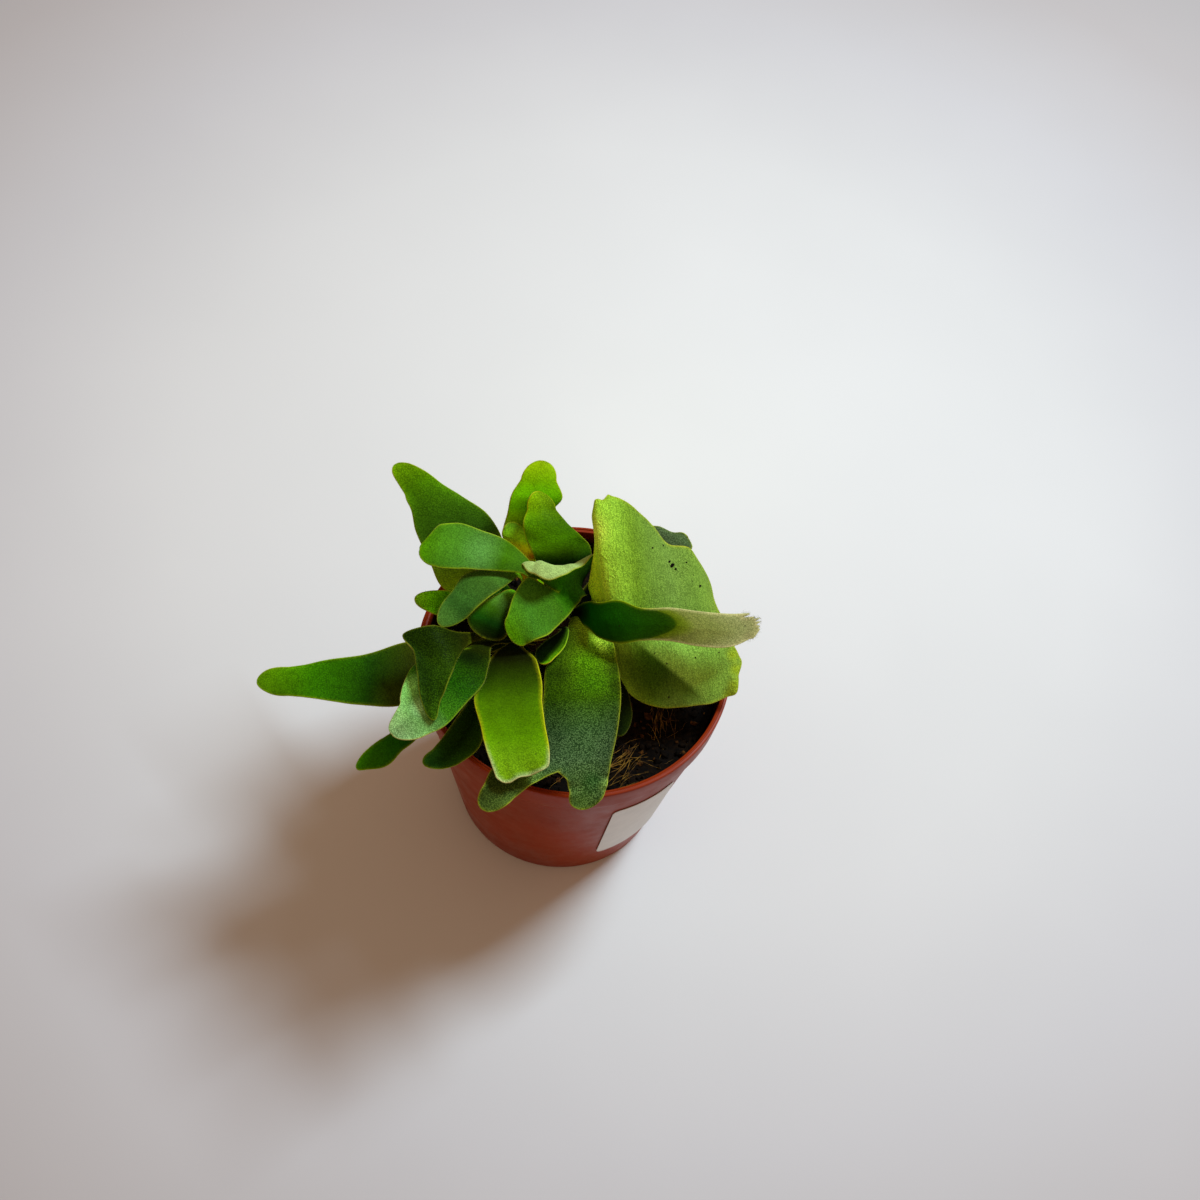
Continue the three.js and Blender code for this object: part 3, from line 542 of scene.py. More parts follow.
        "felt": [(0, 0.5), (1, 0.6)],
    },
    "frond_low_left": {
        "root": (230, 69.5),
        "rows": [
            ((-28, -7, 78), (-30.5, -5, 78), 0),
            ((-34, -27, 83), (-39.5, -23.5, 83), -10),
            ((-39.5, -40, 84), (-45, -36.5, 84), -15),
            ((-44, -44.5, 83), (-49, -40.5, 83), -15),
        ],
        "tip": (-53.5, -48.5, 80),
        "pulls": [
            ((-46, -46, 82), 6, (0.7, -1, -0.2)),
        ],
        "wave": (0.3, 2.3),
        "colours": [(0.6, "#0e3002"), (0.79, "#1a5a03"), (0.98, "#367802")],
        "sides": [(-1, 0.95), (0, 0.95), (1, 1.2)],
        "felt": [(0, 0.3), (1, 0.3)],
    },
    "frond_low_front": {
        "root": (255, 70),
        "rows": [
            ((-20, -9.5, 76), (-23.5, -8, 76), 0),
            ((-21, -26.5, 80.5), (-28, -25, 81), -10),
            ((-22, -37.5, 81), (-32, -35, 81.5), -15),
            ((-26.5, -42.5, 80.5), (-34.5, -40, 81), -15),
        ],
        "tip": (-35, -44.5, 79.5),
        "wave": (0.4, 2.4),
        "colours": [(0.5, "#1e3808"), (0.79, "#244304"), (0.97, "#234e11")],
        "sides": [(-1, 1.8), (0, 0.6), (1, 1.3)],
        "felt": [(0, 0.4), (1, 0.4)],
    },
    "frond_low_right": {
        "root": (330, 70),
        "rows": [
            ((8.5, 3.5, 75), (4.5, 2.5, 75), 0),
            ((16, -9, 77), (9, -11, 77), -10),
            ((18.5, -16, 76), (12, -18, 76), -15),
        ],
        "tip": (16, -23, 74),
        "wave": (0.3, 2.2),
        "rim": (0.6, [(0, "#3c4608")], 0.3),
        "colours": [(0.63, "#121a02"), (0.97, "#182604")],
        "sides": [(-1, 1.9), (0, 0.5), (1, 0.6)],
        "felt": [(0, 0.4), (1, 0.5)],
    },
}

# Underside colours and share of felt where a frond states none
UNDER = [(0, "#66753c"), (1, "#8c9a5c")]
FELT = [(0, 0.3), (1, 0.5)]

# Lightness across a frond, from its left margin at -1 to its right margin at 1, where it states none
SIDES = [(0, 1)]

# Yellowed band along a frond's margin where it states none: width in mm, colours along the blade and strength
RIM = (0.8, [(0, "#7d8a12")], 0.35)

# Blank label on the pot's wall, in mm and degrees: azimuth of its middle, size, how far its foot leans round the
# pot, its distance from the wall and the radius of its corners
LABEL = {"azimuth": -50.9, "width": 21, "top": 57, "bottom": 14.5, "lean": 2.5}
LABEL_SHEET = {"clear": 0.36, "thickness": 0.16, "corner": 2.2, "columns": 24, "rows": 36}

# Pot in mm: drain holes in its floor, the rounded corner of its foot and the number of flats round it
DRAINS = {"count": 8, "circle": 21, "radius": 3.6, "flats": 32}
POT_CORNER = 0.8
POT_FLATS = 180

# Mix: rings and flats of its surface, and how many crumbs are thrown on it. Bark lies mostly by the coir
MIX_RINGS, MIX_FLATS = 64, 220
CRUMBS = 2300
BARK = {"middle": (22, -18), "reach": 14, "share_near": 0.3, "share_far": 0.06}

# Hairs along a margin, in mm: width, and gap and length on an end that is fringed
HAIR_WIDTH = 0.045
FRINGE = {"gap": 0.12, "length": 0.9, "from": 0.93}

# Coir stays within this distance of the pot's middle, in mm
COIR_LIMIT = 39.5

# Seeds of the random draws
SEEDS = {"crumbs": 11, "scales": 5, "coir": 21, "fronds": 100}

# Stage, in metres and watts: table, window light, dim warm surround and the photograph's camera, lens in mm
TABLE_SIZE = 6
WINDOW = {"place": (0.62, 0.57, 1.27), "size": 0.42, "watts": 24, "colour": (0.70, 0.885, 1.0)}
SURROUND = {"colour": (1.0, 0.68, 0.44, 1), "strength": 0.4}
CAMERA = {"place": (0.0047, -0.29503, 0.56417), "lens": 60, "sensor": 36}
CAMERA_RIGHT, CAMERA_UP = (0.98865, 0.12627, 0.08138), (-0.15023, 0.83103, 0.53556)

# Strands of coir on the mix, in mm: middle of each tangle, heading, count and length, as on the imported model
COIR_TANGLES = {
    "coir_tangle_front": {"middle": (16.5, -27), "heading": 50, "strands": 7, "length": 14, "loose": 30},
    "coir_tangle_right": {"middle": (27.5, -12.5), "heading": 96, "strands": 4, "length": 9, "loose": 14},
}

# Crumbs of mix that lie on the shield frond: x, y and size in mm
DEBRIS = [
    (23.1, 17.5, 1.4), (22.2, 18.2, 0.8), (24.2, 16.9, 0.8), (16.9, 19, 0.7), (19.8, 22, 0.6),
    (31.8, 15.5, 0.9), (21.9, -5.7, 0.5), (25.7, -6.9, 0.5), (27.8, -12.5, 0.7), (33.4, -3, 0.5),
    (39.9, 0.8, 0.5), (27, 20, 0.5),
]


def linear(hex_colour):
    """Turns an sRGB hex colour into linear red, green, blue and alpha."""
    parts = [int(hex_colour[i : i + 2], 16) / 255 for i in (1, 3, 5)]
    return [c / 12.92 if c <= 0.04045 else ((c + 0.055) / 1.055) ** 2.4 for c in parts] + [1.0]


def colour_property(name, description, hex_colour):
    return bpy.props.FloatVectorProperty(
        name=name, description=description, subtype="COLOR", size=4, min=0, max=1, default=linear(hex_colour)
    )


def length_property(name, description, millimetres):
    return bpy.props.FloatProperty(
        name=name, description=description, unit="LENGTH", min=0, default=millimetres * MM
    )


class FernSizes(bpy.types.PropertyGroup):
    """Sizes of the pot, the mix and the fronds"""

    pot_height: length_property("Pot height", "Height of the pot over its rim", 75)
    rim_radius: length_property("Rim radius", "Outside radius of the pot's rim", 45)
    base_radius: length_property("Base radius", "Outside radius of the pot's underside", 31.2)
    collar_height: length_property("Collar height", "Height of the straight collar under the rim", 9.4)
    collar_step: length_property("Collar step", "How far the collar stands out from the wall", 1.1)
    collar_taper: length_property("Collar taper", "How far the collar draws in towards its foot", 0.7)
    wall: length_property("Wall", "Thickness of the pot's wall", 1.3)
    floor: length_property("Floor", "Thickness of the pot's floor", 1.8)
    mix_level: length_property("Mix level", "Height of the potting mix", 65.6)
    crumb: length_property("Crumb", "Size of a middling crumb of the mix", 1.0)
    midrib: length_property("Blade at midrib", "Thickness of a frond along its middle", 1.3)
    margin: length_property("Blade at margin", "Thickness of a frond at its margin", 0.32)
    cell: length_property("Blade cell", "Spacing of the points that shape a blade", 0.85)
    crinkle: length_property("Crinkle", "Height of the small waves in a blade's surface", 0.22)
    hair: length_property("Margin hair", "Length of the hairs along a blade's margin", 0.42)
    hair_gap: length_property("Hair gap", "Distance between the hairs along a margin", 0.5)


class FernColours(bpy.types.PropertyGroup):
    """Colours of the pot, the mix and what all fronds share"""

    pot: colour_property("Pot", "Moulded plastic of the pot", "#902d04")
    label: colour_property("Label", "Coated paper of the label", "#dcd9d4")
    peat: colour_property("Peat", "Damp peat", "#0b0705")
    peat_dry: colour_property("Dry peat", "Crumbs that have dried out", "#2a1a0a")
    bark: colour_property("Bark", "Bits of composted bark", "#7a4a1c")
    coir: colour_property("Coir", "Strands of coir", "#8f6418")
    # The rhizome's browns are darkened as painted shade of the crown deep among the fronds
    rhizome: colour_property("Rhizome", "Dead scales of the crown", "#3a2614")
    margin: colour_property("Margin", "Thin worn line along a frond's margin", "#a08c1c")
    felt: colour_property("Felt", "Star-shaped hairs on a frond", "#b9c489")
    speck: colour_property("Speck", "Tiny specks of dirt and dead hair", "#1c1a0e")
    floor: colour_property("Floor", "Painted table top", "#e4e4e3")


# Kinds of shader node that the finishes share, the ways they blend two colours and how rough their noise is
NOISE, RAMP, MIX = "ShaderNodeTexNoise", "ShaderNodeValToRGB", "ShaderNodeMix"
MATH, CELLS, STORED = "ShaderNodeMath", "ShaderNodeTexVoronoi", "ShaderNodeAttribute"
BLENDED = {"data_type": "RGBA", "blend_type": "MIX"}
MULTIPLIED = {"data_type": "RGBA", "blend_type": "MULTIPLY"}
DARKER = {"data_type": "RGBA", "blend_type": "DARKEN"}
SMOOTH = {"Detail": 2.0, "Roughness": 0.55}
SOFT = {"Detail": 3.0, "Roughness": 0.55}
FINER = {"Detail": 4.0, "Roughness": 0.55}


def node(tree, kind, links=(), stops=(), **settings):
    """Adds a shader node with its settings and a ramp's stops, then links or sets its inputs."""
    made = tree.nodes.new(kind)
    for key, value in settings.items():
        setattr(made, key, value)
    for socket, source in dict(links).items():
        if isinstance(source, bpy.types.NodeSocket):
            tree.links.new(source, made.inputs[socket])
        else:
            made.inputs[socket].default_value = source
    if stops:
        # A stop is a position with a colour or a grey
        elements = made.color_ramp.elements
        while len(elements) < len(stops):
            elements.new(0.5)
        for element, (position, value) in zip(elements, stops):
            element.position = position
            element.color = (value, value, value, 1) if isinstance(value, (int, float)) else value
    return made


def new_material(name, **settings):
    """Starts a material on Object coordinates; gives it with its tree, shader and coordinates."""
    material = bpy.data.materials.new(name)
    material.use_nodes = True
    tree = material.node_tree
    shader = tree.nodes["Principled BSDF"]
    for socket, value in settings.items():
        shader.inputs[socket.replace("_", " ")].default_value = value
    place = node(tree, "ShaderNodeTexCoord").outputs["Object"]
    return material, tree, shader, place


def dots(tree, place, spacing, radius, share):
    """Round dots of a radius in mm, in a share of the cells of a spacing in mm."""
    cells = node(tree, CELLS, {"Vector": place, "Scale": 1 / (spacing * MM), "Randomness": 1.0})
    size = radius / spacing
    edge = [(size * 0.6, 1.0), (size * 1.2, 0.0)]
    spot = node(tree, RAMP, {"Fac": cells.outputs["Distance"]}, edge).outputs["Color"]
    chosen = node(tree, "ShaderNodeSeparateColor", {"Color": cells.outputs["Color"]}).outputs["Red"]
    kept = node(tree, MATH, {0: chosen, 1: share}, operation="LESS_THAN").outputs[0]
    return node(tree, MATH, {0: spot, 1: kept}, operation="MULTIPLY").outputs[0]


def worn_paint(tree, painted, colours):
    """Lighter, yellower paint of a frond's margin."""
    lighter = node(tree, MIX, {0: 1.0, 6: painted, 7: (2.9, 2.3, 1.2, 1)}, **MULTIPLIED).outputs[2]
    kept = node(tree, MIX, {0: 1.0, 6: lighter, 7: linear("#c4c47c")}, **DARKER).outputs[2]
    return node(tree, MIX, {0: 0.07, 6: kept, 7: colours.margin}, **BLENDED).outputs[2]


def leaf_skin(name, colours, wrinkled):
    """Leathery upper side of a frond under scattered star-shaped hairs, wrinkled where it is old."""
    # Gives the eye deep green under a pale grain, a faint net of veins and a thin yellow margin
    material, tree, shader, place = new_material(name, Roughness=0.6, IOR=1.4, Specular_IOR_Level=0.03)
    # The stored leaf colour holds painted light and shade besides the frond's own colour
    painted = node(tree, STORED, attribute_name="leaf_colour").outputs["Color"]
    blade = node(tree, STORED, attribute_name="blade").outputs["Vector"]
    felt = node(tree, STORED, attribute_name="felt").outputs["Fac"]
    margin = node(tree, "ShaderNodeSeparateXYZ", {"Vector": blade}).outputs["Z"]
    # Mottling about 5 mm across, and a finer one of 1.4 mm
    lumps = node(tree, NOISE, {"Vector": place, "Scale": 1 / (5 * MM), **SOFT}).outputs["Fac"]
    mottle = node(tree, RAMP, {"Fac": lumps}, [(0.3, 0.9), (0.7, 1.1)]).outputs["Color"]
    ground = node(tree, MIX, {0: 1.0, 6: painted, 7: mottle}, **MULTIPLIED).outputs[2]
    small_lumps = node(tree, NOISE, {"Vector": place, "Scale": 1 / (1.4 * MM), **SMOOTH}).outputs["Fac"]
    fine = node(tree, RAMP, {"Fac": small_lumps}, [(0.3, 0.9), (0.7, 1.1)]).outputs["Color"]
    ground = node(tree, MIX, {0: 1.0, 6: ground, 7: fine}, **MULTIPLIED).outputs[2]
    # Net of veins, in cells about 2 mm across the blade and 1 mm along it
    stretch = node(tree, "ShaderNodeMapping", {"Vector": blade, "Scale": (5.5, 9.0, 0.0)}).outputs["Vector"]
    veins = node(tree, CELLS, {"Vector": stretch, "Scale": 1.0}, feature="DISTANCE_TO_EDGE")
    vein = node(tree, RAMP, {"Fac": veins.outputs["Distance"]}, [(0.0, 1.0), (0.07, 0.0)]).outputs["Color"]
    vein_share = node(tree, MATH, {0: vein, 1: 0.12}, operation="MULTIPLY").outputs[0]
    veined = node(tree, MIX, {0: vein_share, 6: ground, 7: linear("#1c3004")}, **BLENDED).outputs[2]
    # Star-shaped hairs about 0.36 mm apart, with the darker skin between them
    patches = node(tree, NOISE, {"Vector": place, "Scale": 1 / (3 * MM), **SMOOTH}).outputs["Fac"]
    patchy = node(tree, RAMP, {"Fac": patches}, [(0.35, 0.6), (0.7, 1.0)]).outputs["Color"]
    furred = node(tree, MATH, {0: patchy, 1: felt}, operation="MULTIPLY", use_clamp=True).outputs[0]
    pits = node(tree, MIX, {0: 1.0, 6: veined, 7: (0.55, 0.58, 0.5, 1)}, **MULTIPLIED).outputs[2]
    pitted = node(tree, MIX, {0: furred, 6: veined, 7: pits}, **BLENDED).outputs[2]
    tufts = node(tree, CELLS, {"Vector": place, "Scale": 1 / (0.36 * MM)})
    tuft = node(tree, RAMP, {"Fac": tufts.outputs["Distance"]}, [(0.25, 1.0), (0.6, 0.0)]).outputs["Color"]
    grain = node(tree, MATH, {0: tuft, 1: furred}, operation="MULTIPLY").outputs[0]
    bright = node(tree, MIX, {0: 1.0, 6: painted, 7: (2.9, 2.6, 3.0, 1)}, **MULTIPLIED).outputs[2]
    bloom = node(tree, RAMP, {"Fac": felt}, [(0.9, 0.0), (1.0, 0.12)]).outputs["Color"]
    pale = node(tree, MIX, {0: bloom, 6: bright, 7: colours.felt}, **BLENDED).outputs[2]
    haired = node(tree, MIX, {0: grain, 6: pitted, 7: pale}, **BLENDED).outputs[2]
    # Specks of dirt and dead hair, 0.4 mm across and some millimetres apart
    specks = dots(tree, place, 3.2, 0.2, 0.5)
    specked = node(tree, MIX, {0: specks, 6: haired, 7: colours.speck}, **BLENDED).outputs[2]
    # Worn line along the margin, 0.3 mm wide, broken by small noise
    drift = node(tree, NOISE, {"Vector": place, "Scale": 1 / (1.2 * MM), **SMOOTH}).outputs["Fac"]
    wander = node(tree, RAMP, {"Fac": drift}, [(0.3, -0.15), (0.7, 0.15)]).outputs["Color"]
    reach = node(tree, MATH, {0: margin, 1: wander}, operation="ADD").outputs[0]
    line = node(tree, RAMP, {"Fac": reach}, [(0.12, 0.8), (0.45, 0.0)]).outputs["Color"]
    worn = worn_paint(tree, painted, colours)
    edged = node(tree, MIX, {0: line, 6: specked, 7: worn}, **BLENDED).outputs[2]
    tree.links.new(edged, shader.inputs["Base Color"])
    sheen_lumps = node(tree, NOISE, {"Vector": place, "Scale": 1 / (2 * MM), **SOFT}).outputs["Fac"]
    rough = node(tree, RAMP, {"Fac": sheen_lumps}, [(0.3, 0.5), (0.7, 0.7)]).outputs["Color"]
    tree.links.new(rough, shader.inputs["Roughness"])
    relief = node(tree, NOISE, {"Vector": place, "Scale": 1 / (0.5 * MM), **SMOOTH}).outputs["Fac"]
    height = node(tree, MATH, {0: relief, 1: vein}, operation="ADD").outputs[0]
    if wrinkled:
        folds = node(tree, CELLS, {"Vector": place, "Scale": 1 / (1.5 * MM)}, feature="DISTANCE_TO_EDGE")
        ridge = [(0.0, 0.4), (0.25, 1.0)]
        crease = node(tree, RAMP, {"Fac": folds.outputs["Distance"]}, ridge).outputs["Color"]
        height = node(tree, MATH, {0: crease, 1: height}, operation="ADD").outputs[0]
    depth = 0.07 if wrinkled else 0.05
    raised = node(tree, "ShaderNodeBump", {"Height": height, "Strength": 1.0, "Distance": depth * MM})
    tree.links.new(raised.outputs["Normal"], shader.inputs["Normal"])
    return material


def felted_underside(colours):
    """Underside of a frond: a close felt of star-shaped hairs."""
    # Gives the eye a dull silvery green with a soft bright rim
    name = "felted leaf underside"
    material, tree, shader, place = new_material(name, Roughness=0.85, IOR=1.4, Specular_IOR_Level=0.1)
    shader.inputs["Sheen Weight"].default_value = 0.1
    shader.inputs["Sheen Roughness"].default_value = 0.4
    blade = node(tree, STORED, attribute_name="blade").outputs["Vector"]
    under = node(tree, STORED, attribute_name="under_colour").outputs["Color"]
    lumps = node(tree, NOISE, {"Vector": place, "Scale": 1 / (4 * MM), **SOFT}).outputs["Fac"]
    shade = node(tree, RAMP, {"Fac": lumps}, [(0.3, 0.82), (0.7, 1.15)]).outputs["Color"]
    ground = node(tree, MIX, {0: 1.0, 6: under, 7: shade}, **MULTIPLIED).outputs[2]
    # Star-shaped hairs in a close grain of 0.23 mm
    settings = {"Vector": place, "Scale": 1 / (0.23 * MM), "Detail": 0.0, "Roughness": 0.55}
    grain = node(tree, NOISE, settings).outputs["Fac"]
    stars = [(0.42, (0.75, 0.75, 0.7, 1)), (0.58, (1.25, 1.25, 1.2, 1))]
    tuft = node(tree, RAMP, {"Fac": grain}, stars).outputs["Color"]
    felt = node(tree, MIX, {0: 1.0, 6: ground, 7: tuft}, **MULTIPLIED).outputs[2]
    margin = node(tree, "ShaderNodeSeparateXYZ", {"Vector": blade}).outputs["Z"]
    line = node(tree, RAMP, {"Fac": margin}, [(0.2, 0.6), (0.6, 0.0)]).outputs["Color"]
    edged = node(tree, MIX, {0: line, 6: felt, 7: colours.margin}, **BLENDED).outputs[2]
    tree.links.new(edged, shader.inputs["Base Color"])
    relief = node(tree, NOISE, {"Vector": place, "Scale": 1 / (0.45 * MM), **SMOOTH}).outputs["Fac"]
    raised = node(tree, "ShaderNodeBump", {"Height": relief, "Strength": 1.0, "Distance": 0.12 * MM})
    tree.links.new(raised.outputs["Normal"], shader.inputs["Normal"])
    return material


def worn_margin(colours):
    """Cut face of a frond's margin, where the felt has browned."""
    # Gives the eye the thin yellow-tan outline round each frond
    name = "browned leaf margin"
    material, tree, shader, place = new_material(name, Roughness=0.8, Specular_IOR_Level=0.1)
    shader.inputs["Sheen Weight"].default_value = 0.1
    patches = node(tree, NOISE, {"Vector": place, "Scale": 1 / (2.5 * MM), **FINER}).outputs["Fac"]
    brown = node(tree, RAMP, {"Fac": patches}, [(0.5, 0.0), (0.85, 0.4)]).outputs["Color"]
    # The stored leaf colour holds painted light and shade, so the margin does too
    painted = node(tree, STORED, attribute_name="leaf_colour").outputs["Color"]
    ground = worn_paint(tree, painted, colours)
    browned = node(tree, MIX, {0: brown, 6: ground, 7: linear("#5c3a12")}, **BLENDED).outputs[2]
    tree.links.new(browned, shader.inputs["Base Color"])
    relief = node(tree, NOISE, {"Vector": place, "Scale": 1 / (0.4 * MM), **SMOOTH}).outputs["Fac"]
    raised = node(tree, "ShaderNodeBump", {"Height": relief, "Strength": 1.0, "Distance": 0.08 * MM})
    tree.links.new(raised.outputs["Normal"], shader.inputs["Normal"])
    return material


def margin_hair():
    """Pale dry hair that stands along a frond's margin."""
    # Gives the eye a soft fuzzy outline against the light
    material, tree, shader, place = new_material("dry leaf hair", Roughness=0.7, Specular_IOR_Level=0.1)
    lumps = node(tree, NOISE, {"Vector": place, "Scale": 1 / (1.5 * MM), **SOFT}).outputs["Fac"]
    tones = [(0.3, linear("#6a6c16")), (0.7, linear("#a0a054"))]
    shade = node(tree, RAMP, {"Fac": lumps}, tones).outputs["Color"]
    tree.links.new(shade, shader.inputs["Base Color"])
    return material


def moulded_plastic(colours):
    """Injection-moulded polypropylene, coloured through."""
    # Gives the eye a soft satin terracotta with fine moulding grain, handling haze that is partly a painted
    # sheen, dust, and painted shade inside
    name = "moulded polypropylene"
    material, tree, shader, place = new_material(name, Roughness=0.42, IOR=1.49, Specular_IOR_Level=0.13)
    lumps = node(tree, NOISE, {"Vector": place, "Scale": 1 / (22 * MM), **FINER}).outputs["Fac"]
    shade = node(tree, RAMP, {"Fac": lumps}, [(0.3, 0.88), (0.7, 1.1)]).outputs["Color"]
    ground = node(tree, MIX, {0: 1.0, 6: colours.pot, 7: shade}, **MULTIPLIED).outputs[2]
    # Handling haze in patches of 14 mm, partly a painted sheen, soil dust in grains of 0.4 mm, and painted shade
    # with peat stain on the inside
    settings = {"Vector": place, "Scale": 1 / (14 * MM), "Detail": 6.0, "Roughness": 0.65}
    patches = node(tree, NOISE, settings).outputs["Fac"]
    haze = node(tree, RAMP, {"Fac": patches}, [(0.52, 0.0), (0.85, 0.06)]).outputs["Color"]
    hazed = node(tree, MIX, {0: haze, 6: ground, 7: linear("#a85a44")}, **BLENDED).outputs[2]
    dust = dots(tree, place, 2.6, 0.22, 0.3)
    dusty = node(tree, MIX, {0: dust, 6: hazed, 7: linear("#3a1d10")}, **BLENDED).outputs[2]
    stain = node(tree, STORED, attribute_name="stain").outputs["Fac"]
    shaded_and_stained = node(tree, MIX, {0: stain, 6: dusty, 7: colours.peat}, **BLENDED).outputs[2]
    tree.links.new(shaded_and_stained, shader.inputs["Base Color"])
    handling = node(tree, NOISE, {"Vector": place, "Scale": 1 / (6 * MM), **FINER}).outputs["Fac"]
    rough = node(tree, RAMP, {"Fac": handling}, [(0.3, 0.32), (0.7, 0.5)]).outputs["Color"]
    tree.links.new(rough, shader.inputs["Roughness"])
    grain = node(tree, NOISE, {"Vector": place, "Scale": 1 / (0.6 * MM), **SMOOTH}).outputs["Fac"]
    raised = node(tree, "ShaderNodeBump", {"Height": grain, "Strength": 1.0, "Distance": 0.02 * MM})
    tree.links.new(raised.outputs["Normal"], shader.inputs["Normal"])
    return material


def coated_paper(colours):
    """Coated label paper, printed side blank."""
    # Gives the eye a flat white sheet with faint handling marks and a warm lower edge
    material, tree, shader, place = new_material("coated label paper", Roughness=0.45, IOR=1.45)
    settings = {"Vector": place, "Scale": 1 / (6 * MM), "Detail": 5.0, "Roughness": 0.55}
    marks = node(tree, NOISE, settings).outputs["Fac"]
    shade = node(tree, RAMP, {"Fac": marks}, [(0.3, 0.93), (0.7, 1.03)]).outputs["Color"]
    ground = node(tree, MIX, {0: 1.0, 6: colours.label, 7: shade}, **MULTIPLIED).outputs[2]
    height = node(tree, "ShaderNodeSeparateXYZ", {"Vector": place}).outputs["Z"]
    edge = node(tree, RAMP, {"Fac": height}, [(14.8 * MM, 0.8), (15.2 * MM, 0.0)]).outputs["Color"]
    warm = node(tree, MIX, {0: edge, 6: ground, 7: linear("#9a6a3a")}, **BLENDED).outputs[2]
    tree.links.new(warm, shader.inputs["Base Color"])
    fibre = node(tree, NOISE, {"Vector": place, "Scale": 1 / (0.3 * MM), **SMOOTH}).outputs["Fac"]
    raised = node(tree, "ShaderNodeBump", {"Height": fibre, "Strength": 1.0, "Distance": 0.01 * MM})
    tree.links.new(raised.outputs["Normal"], shader.inputs["Normal"])
    return material


def damp_peat(colours):
    """Damp peat potting mix."""
    # Gives the eye near-black crumbs with dry brown and orange-brown bark among them
    material, tree, shader, place = new_material("damp peat", Roughness=0.9, Specular_IOR_Level=0.08)
    dry = node(tree, STORED, attribute_name="dry").outputs["Fac"]
    settings = {"Vector": place, "Scale": 1 / (1.4 * MM), "Detail": 6.0, "Roughness": 0.7}
    grains = node(tree, NOISE, settings).outputs["Fac"]
    tones = [(0.42, colours.peat), (0.68, colours.peat_dry)]
    shade = node(tree, RAMP, {"Fac": grains}, tones).outputs["Color"]
    patches = node(tree, NOISE, {"Vector": place, "Scale": 1 / (7 * MM), **SOFT}).outputs["Fac"]
    wet = node(tree, RAMP, {"Fac": patches}, [(0.35, 0.0), (0.65, 0.8)]).outputs["Color"]
    dark = node(tree, MIX, {0: wet, 6: shade, 7: colours.peat}, **BLENDED).outputs[2]
    chips = node(tree, NOISE, {"Vector": place, "Scale": 1 / (0.8 * MM), **SOFT}).outputs["Fac"]
    tones = [(0.35, linear("#2c1706")), (0.7, colours.bark)]
    bark = node(tree, RAMP, {"Fac": chips}, tones).outputs["Color"]
    crumbly = node(tree, MIX, {0: dry, 6: dark, 7: bark}, **BLENDED).outputs[2]
    tree.links.new(crumbly, shader.inputs["Base Color"])
    settings = {"Vector": place, "Scale": 1 / (0.5 * MM), "Detail": 5.0, "Roughness": 0.7}
    relief = node(tree, NOISE, settings).outputs["Fac"]
    raised = node(tree, "ShaderNodeBump", {"Height": relief, "Strength": 1.0, "Distance": 0.35 * MM})
    tree.links.new(raised.outputs["Normal"], shader.inputs["Normal"])
    return material


def coir_fibre(colours):
    """Dry coconut fibre."""
    # Gives the eye golden-brown strands with darker joints
    material, tree, shader, place = new_material("dry coir fibre", Roughness=0.6)
    lumps = node(tree, NOISE, {"Vector": place, "Scale": 1 / (2.2 * MM), **SOFT}).outputs["Fac"]
    tones = [(0.35, linear("#2e1a08")), (0.55, colours.coir), (0.75, linear("#c89838"))]
    shade = node(tree, RAMP, {"Fac": lumps}, tones).outputs["Color"]
    tree.links.new(shade, shader.inputs["Base Color"])
    return material


def dead_scale(colours):
    """Papery dead scales of the rhizome."""
    # Gives the eye overlapping brown scales with pale worn tips
    material, tree, shader, place = new_material("papery rhizome scale", Roughness=0.75)
    lumps = node(tree, NOISE, {"Vector": place, "Scale": 1 / (1.6 * MM), **FINER}).outputs["Fac"]
    # Browns darkened as painted shade of the crown deep among the fronds
    tones = [(0.3, linear("#2e1c0e")), (0.55, colours.rhizome), (0.8, linear("#6a5230"))]
    shade = node(tree, RAMP, {"Fac": lumps}, tones).outputs["Color"]
    tree.links.new(shade, shader.inputs["Base Color"])
    relief = node(tree, NOISE, {"Vector": place, "Scale": 1 / (0.4 * MM), **SOFT}).outputs["Fac"]
    raised = node(tree, "ShaderNodeBump", {"Height": relief, "Strength": 1.0, "Distance": 0.1 * MM})
    tree.links.new(raised.outputs["Normal"], shader.inputs["Normal"])
    return material


def matt_table(colours):
    """Matt painted table top."""
    # Gives the eye a plain pale ground with the faintest unevenness, under a painted pool of light
    material, tree, shader, place = new_material("matt painted board", Roughness=0.75)
    lumps = node(tree, NOISE, {"Vector": place, "Scale": 1 / (160 * MM), **SOFT}).outputs["Fac"]
    shade = node(tree, RAMP, {"Fac": lumps}, [(0.3, 0.97), (0.7, 1.02)]).outputs["Color"]
    ground = node(tree, MIX, {0: 1.0, 6: colours.floor, 7: shade}, **MULTIPLIED).outputs[2]
    # Painted pool of light, a slow fall towards the board's ends: 1 behind the pot, 0 at 400 mm from there
    settings = {"Vector": place, "Location": (10 * MM, 120 * MM, 0), "Scale": (400 * MM, 400 * MM, 400 * MM)}
    spread = node(tree, "ShaderNodeMapping", settings, vector_type="TEXTURE").outputs["Vector"]
    reach = node(tree, "ShaderNodeTexGradient", {"Vector": spread}, gradient_type="SPHERICAL").outputs["Fac"]
    tones = [
        (0.0, (0.5, 0.46, 0.46, 1)), (0.2, (0.6, 0.54, 0.54, 1)), (0.4, (0.75, 0.71, 0.73, 1)),
        (0.6, (0.9, 0.87, 0.87, 1)), (0.8, (0.98, 0.955, 0.947, 1)), (1.0, (1.05, 1.03, 1.0, 1)),
    ]
    painted_light_pool = node(tree, RAMP, {"Fac": reach}, tones).outputs["Color"]
    light_pooled = node(tree, MIX, {0: 1.0, 6: ground, 7: painted_light_pool}, **MULTIPLIED).outputs[2]
    tree.links.new(light_pooled, shader.inputs["Base Color"])
    return material


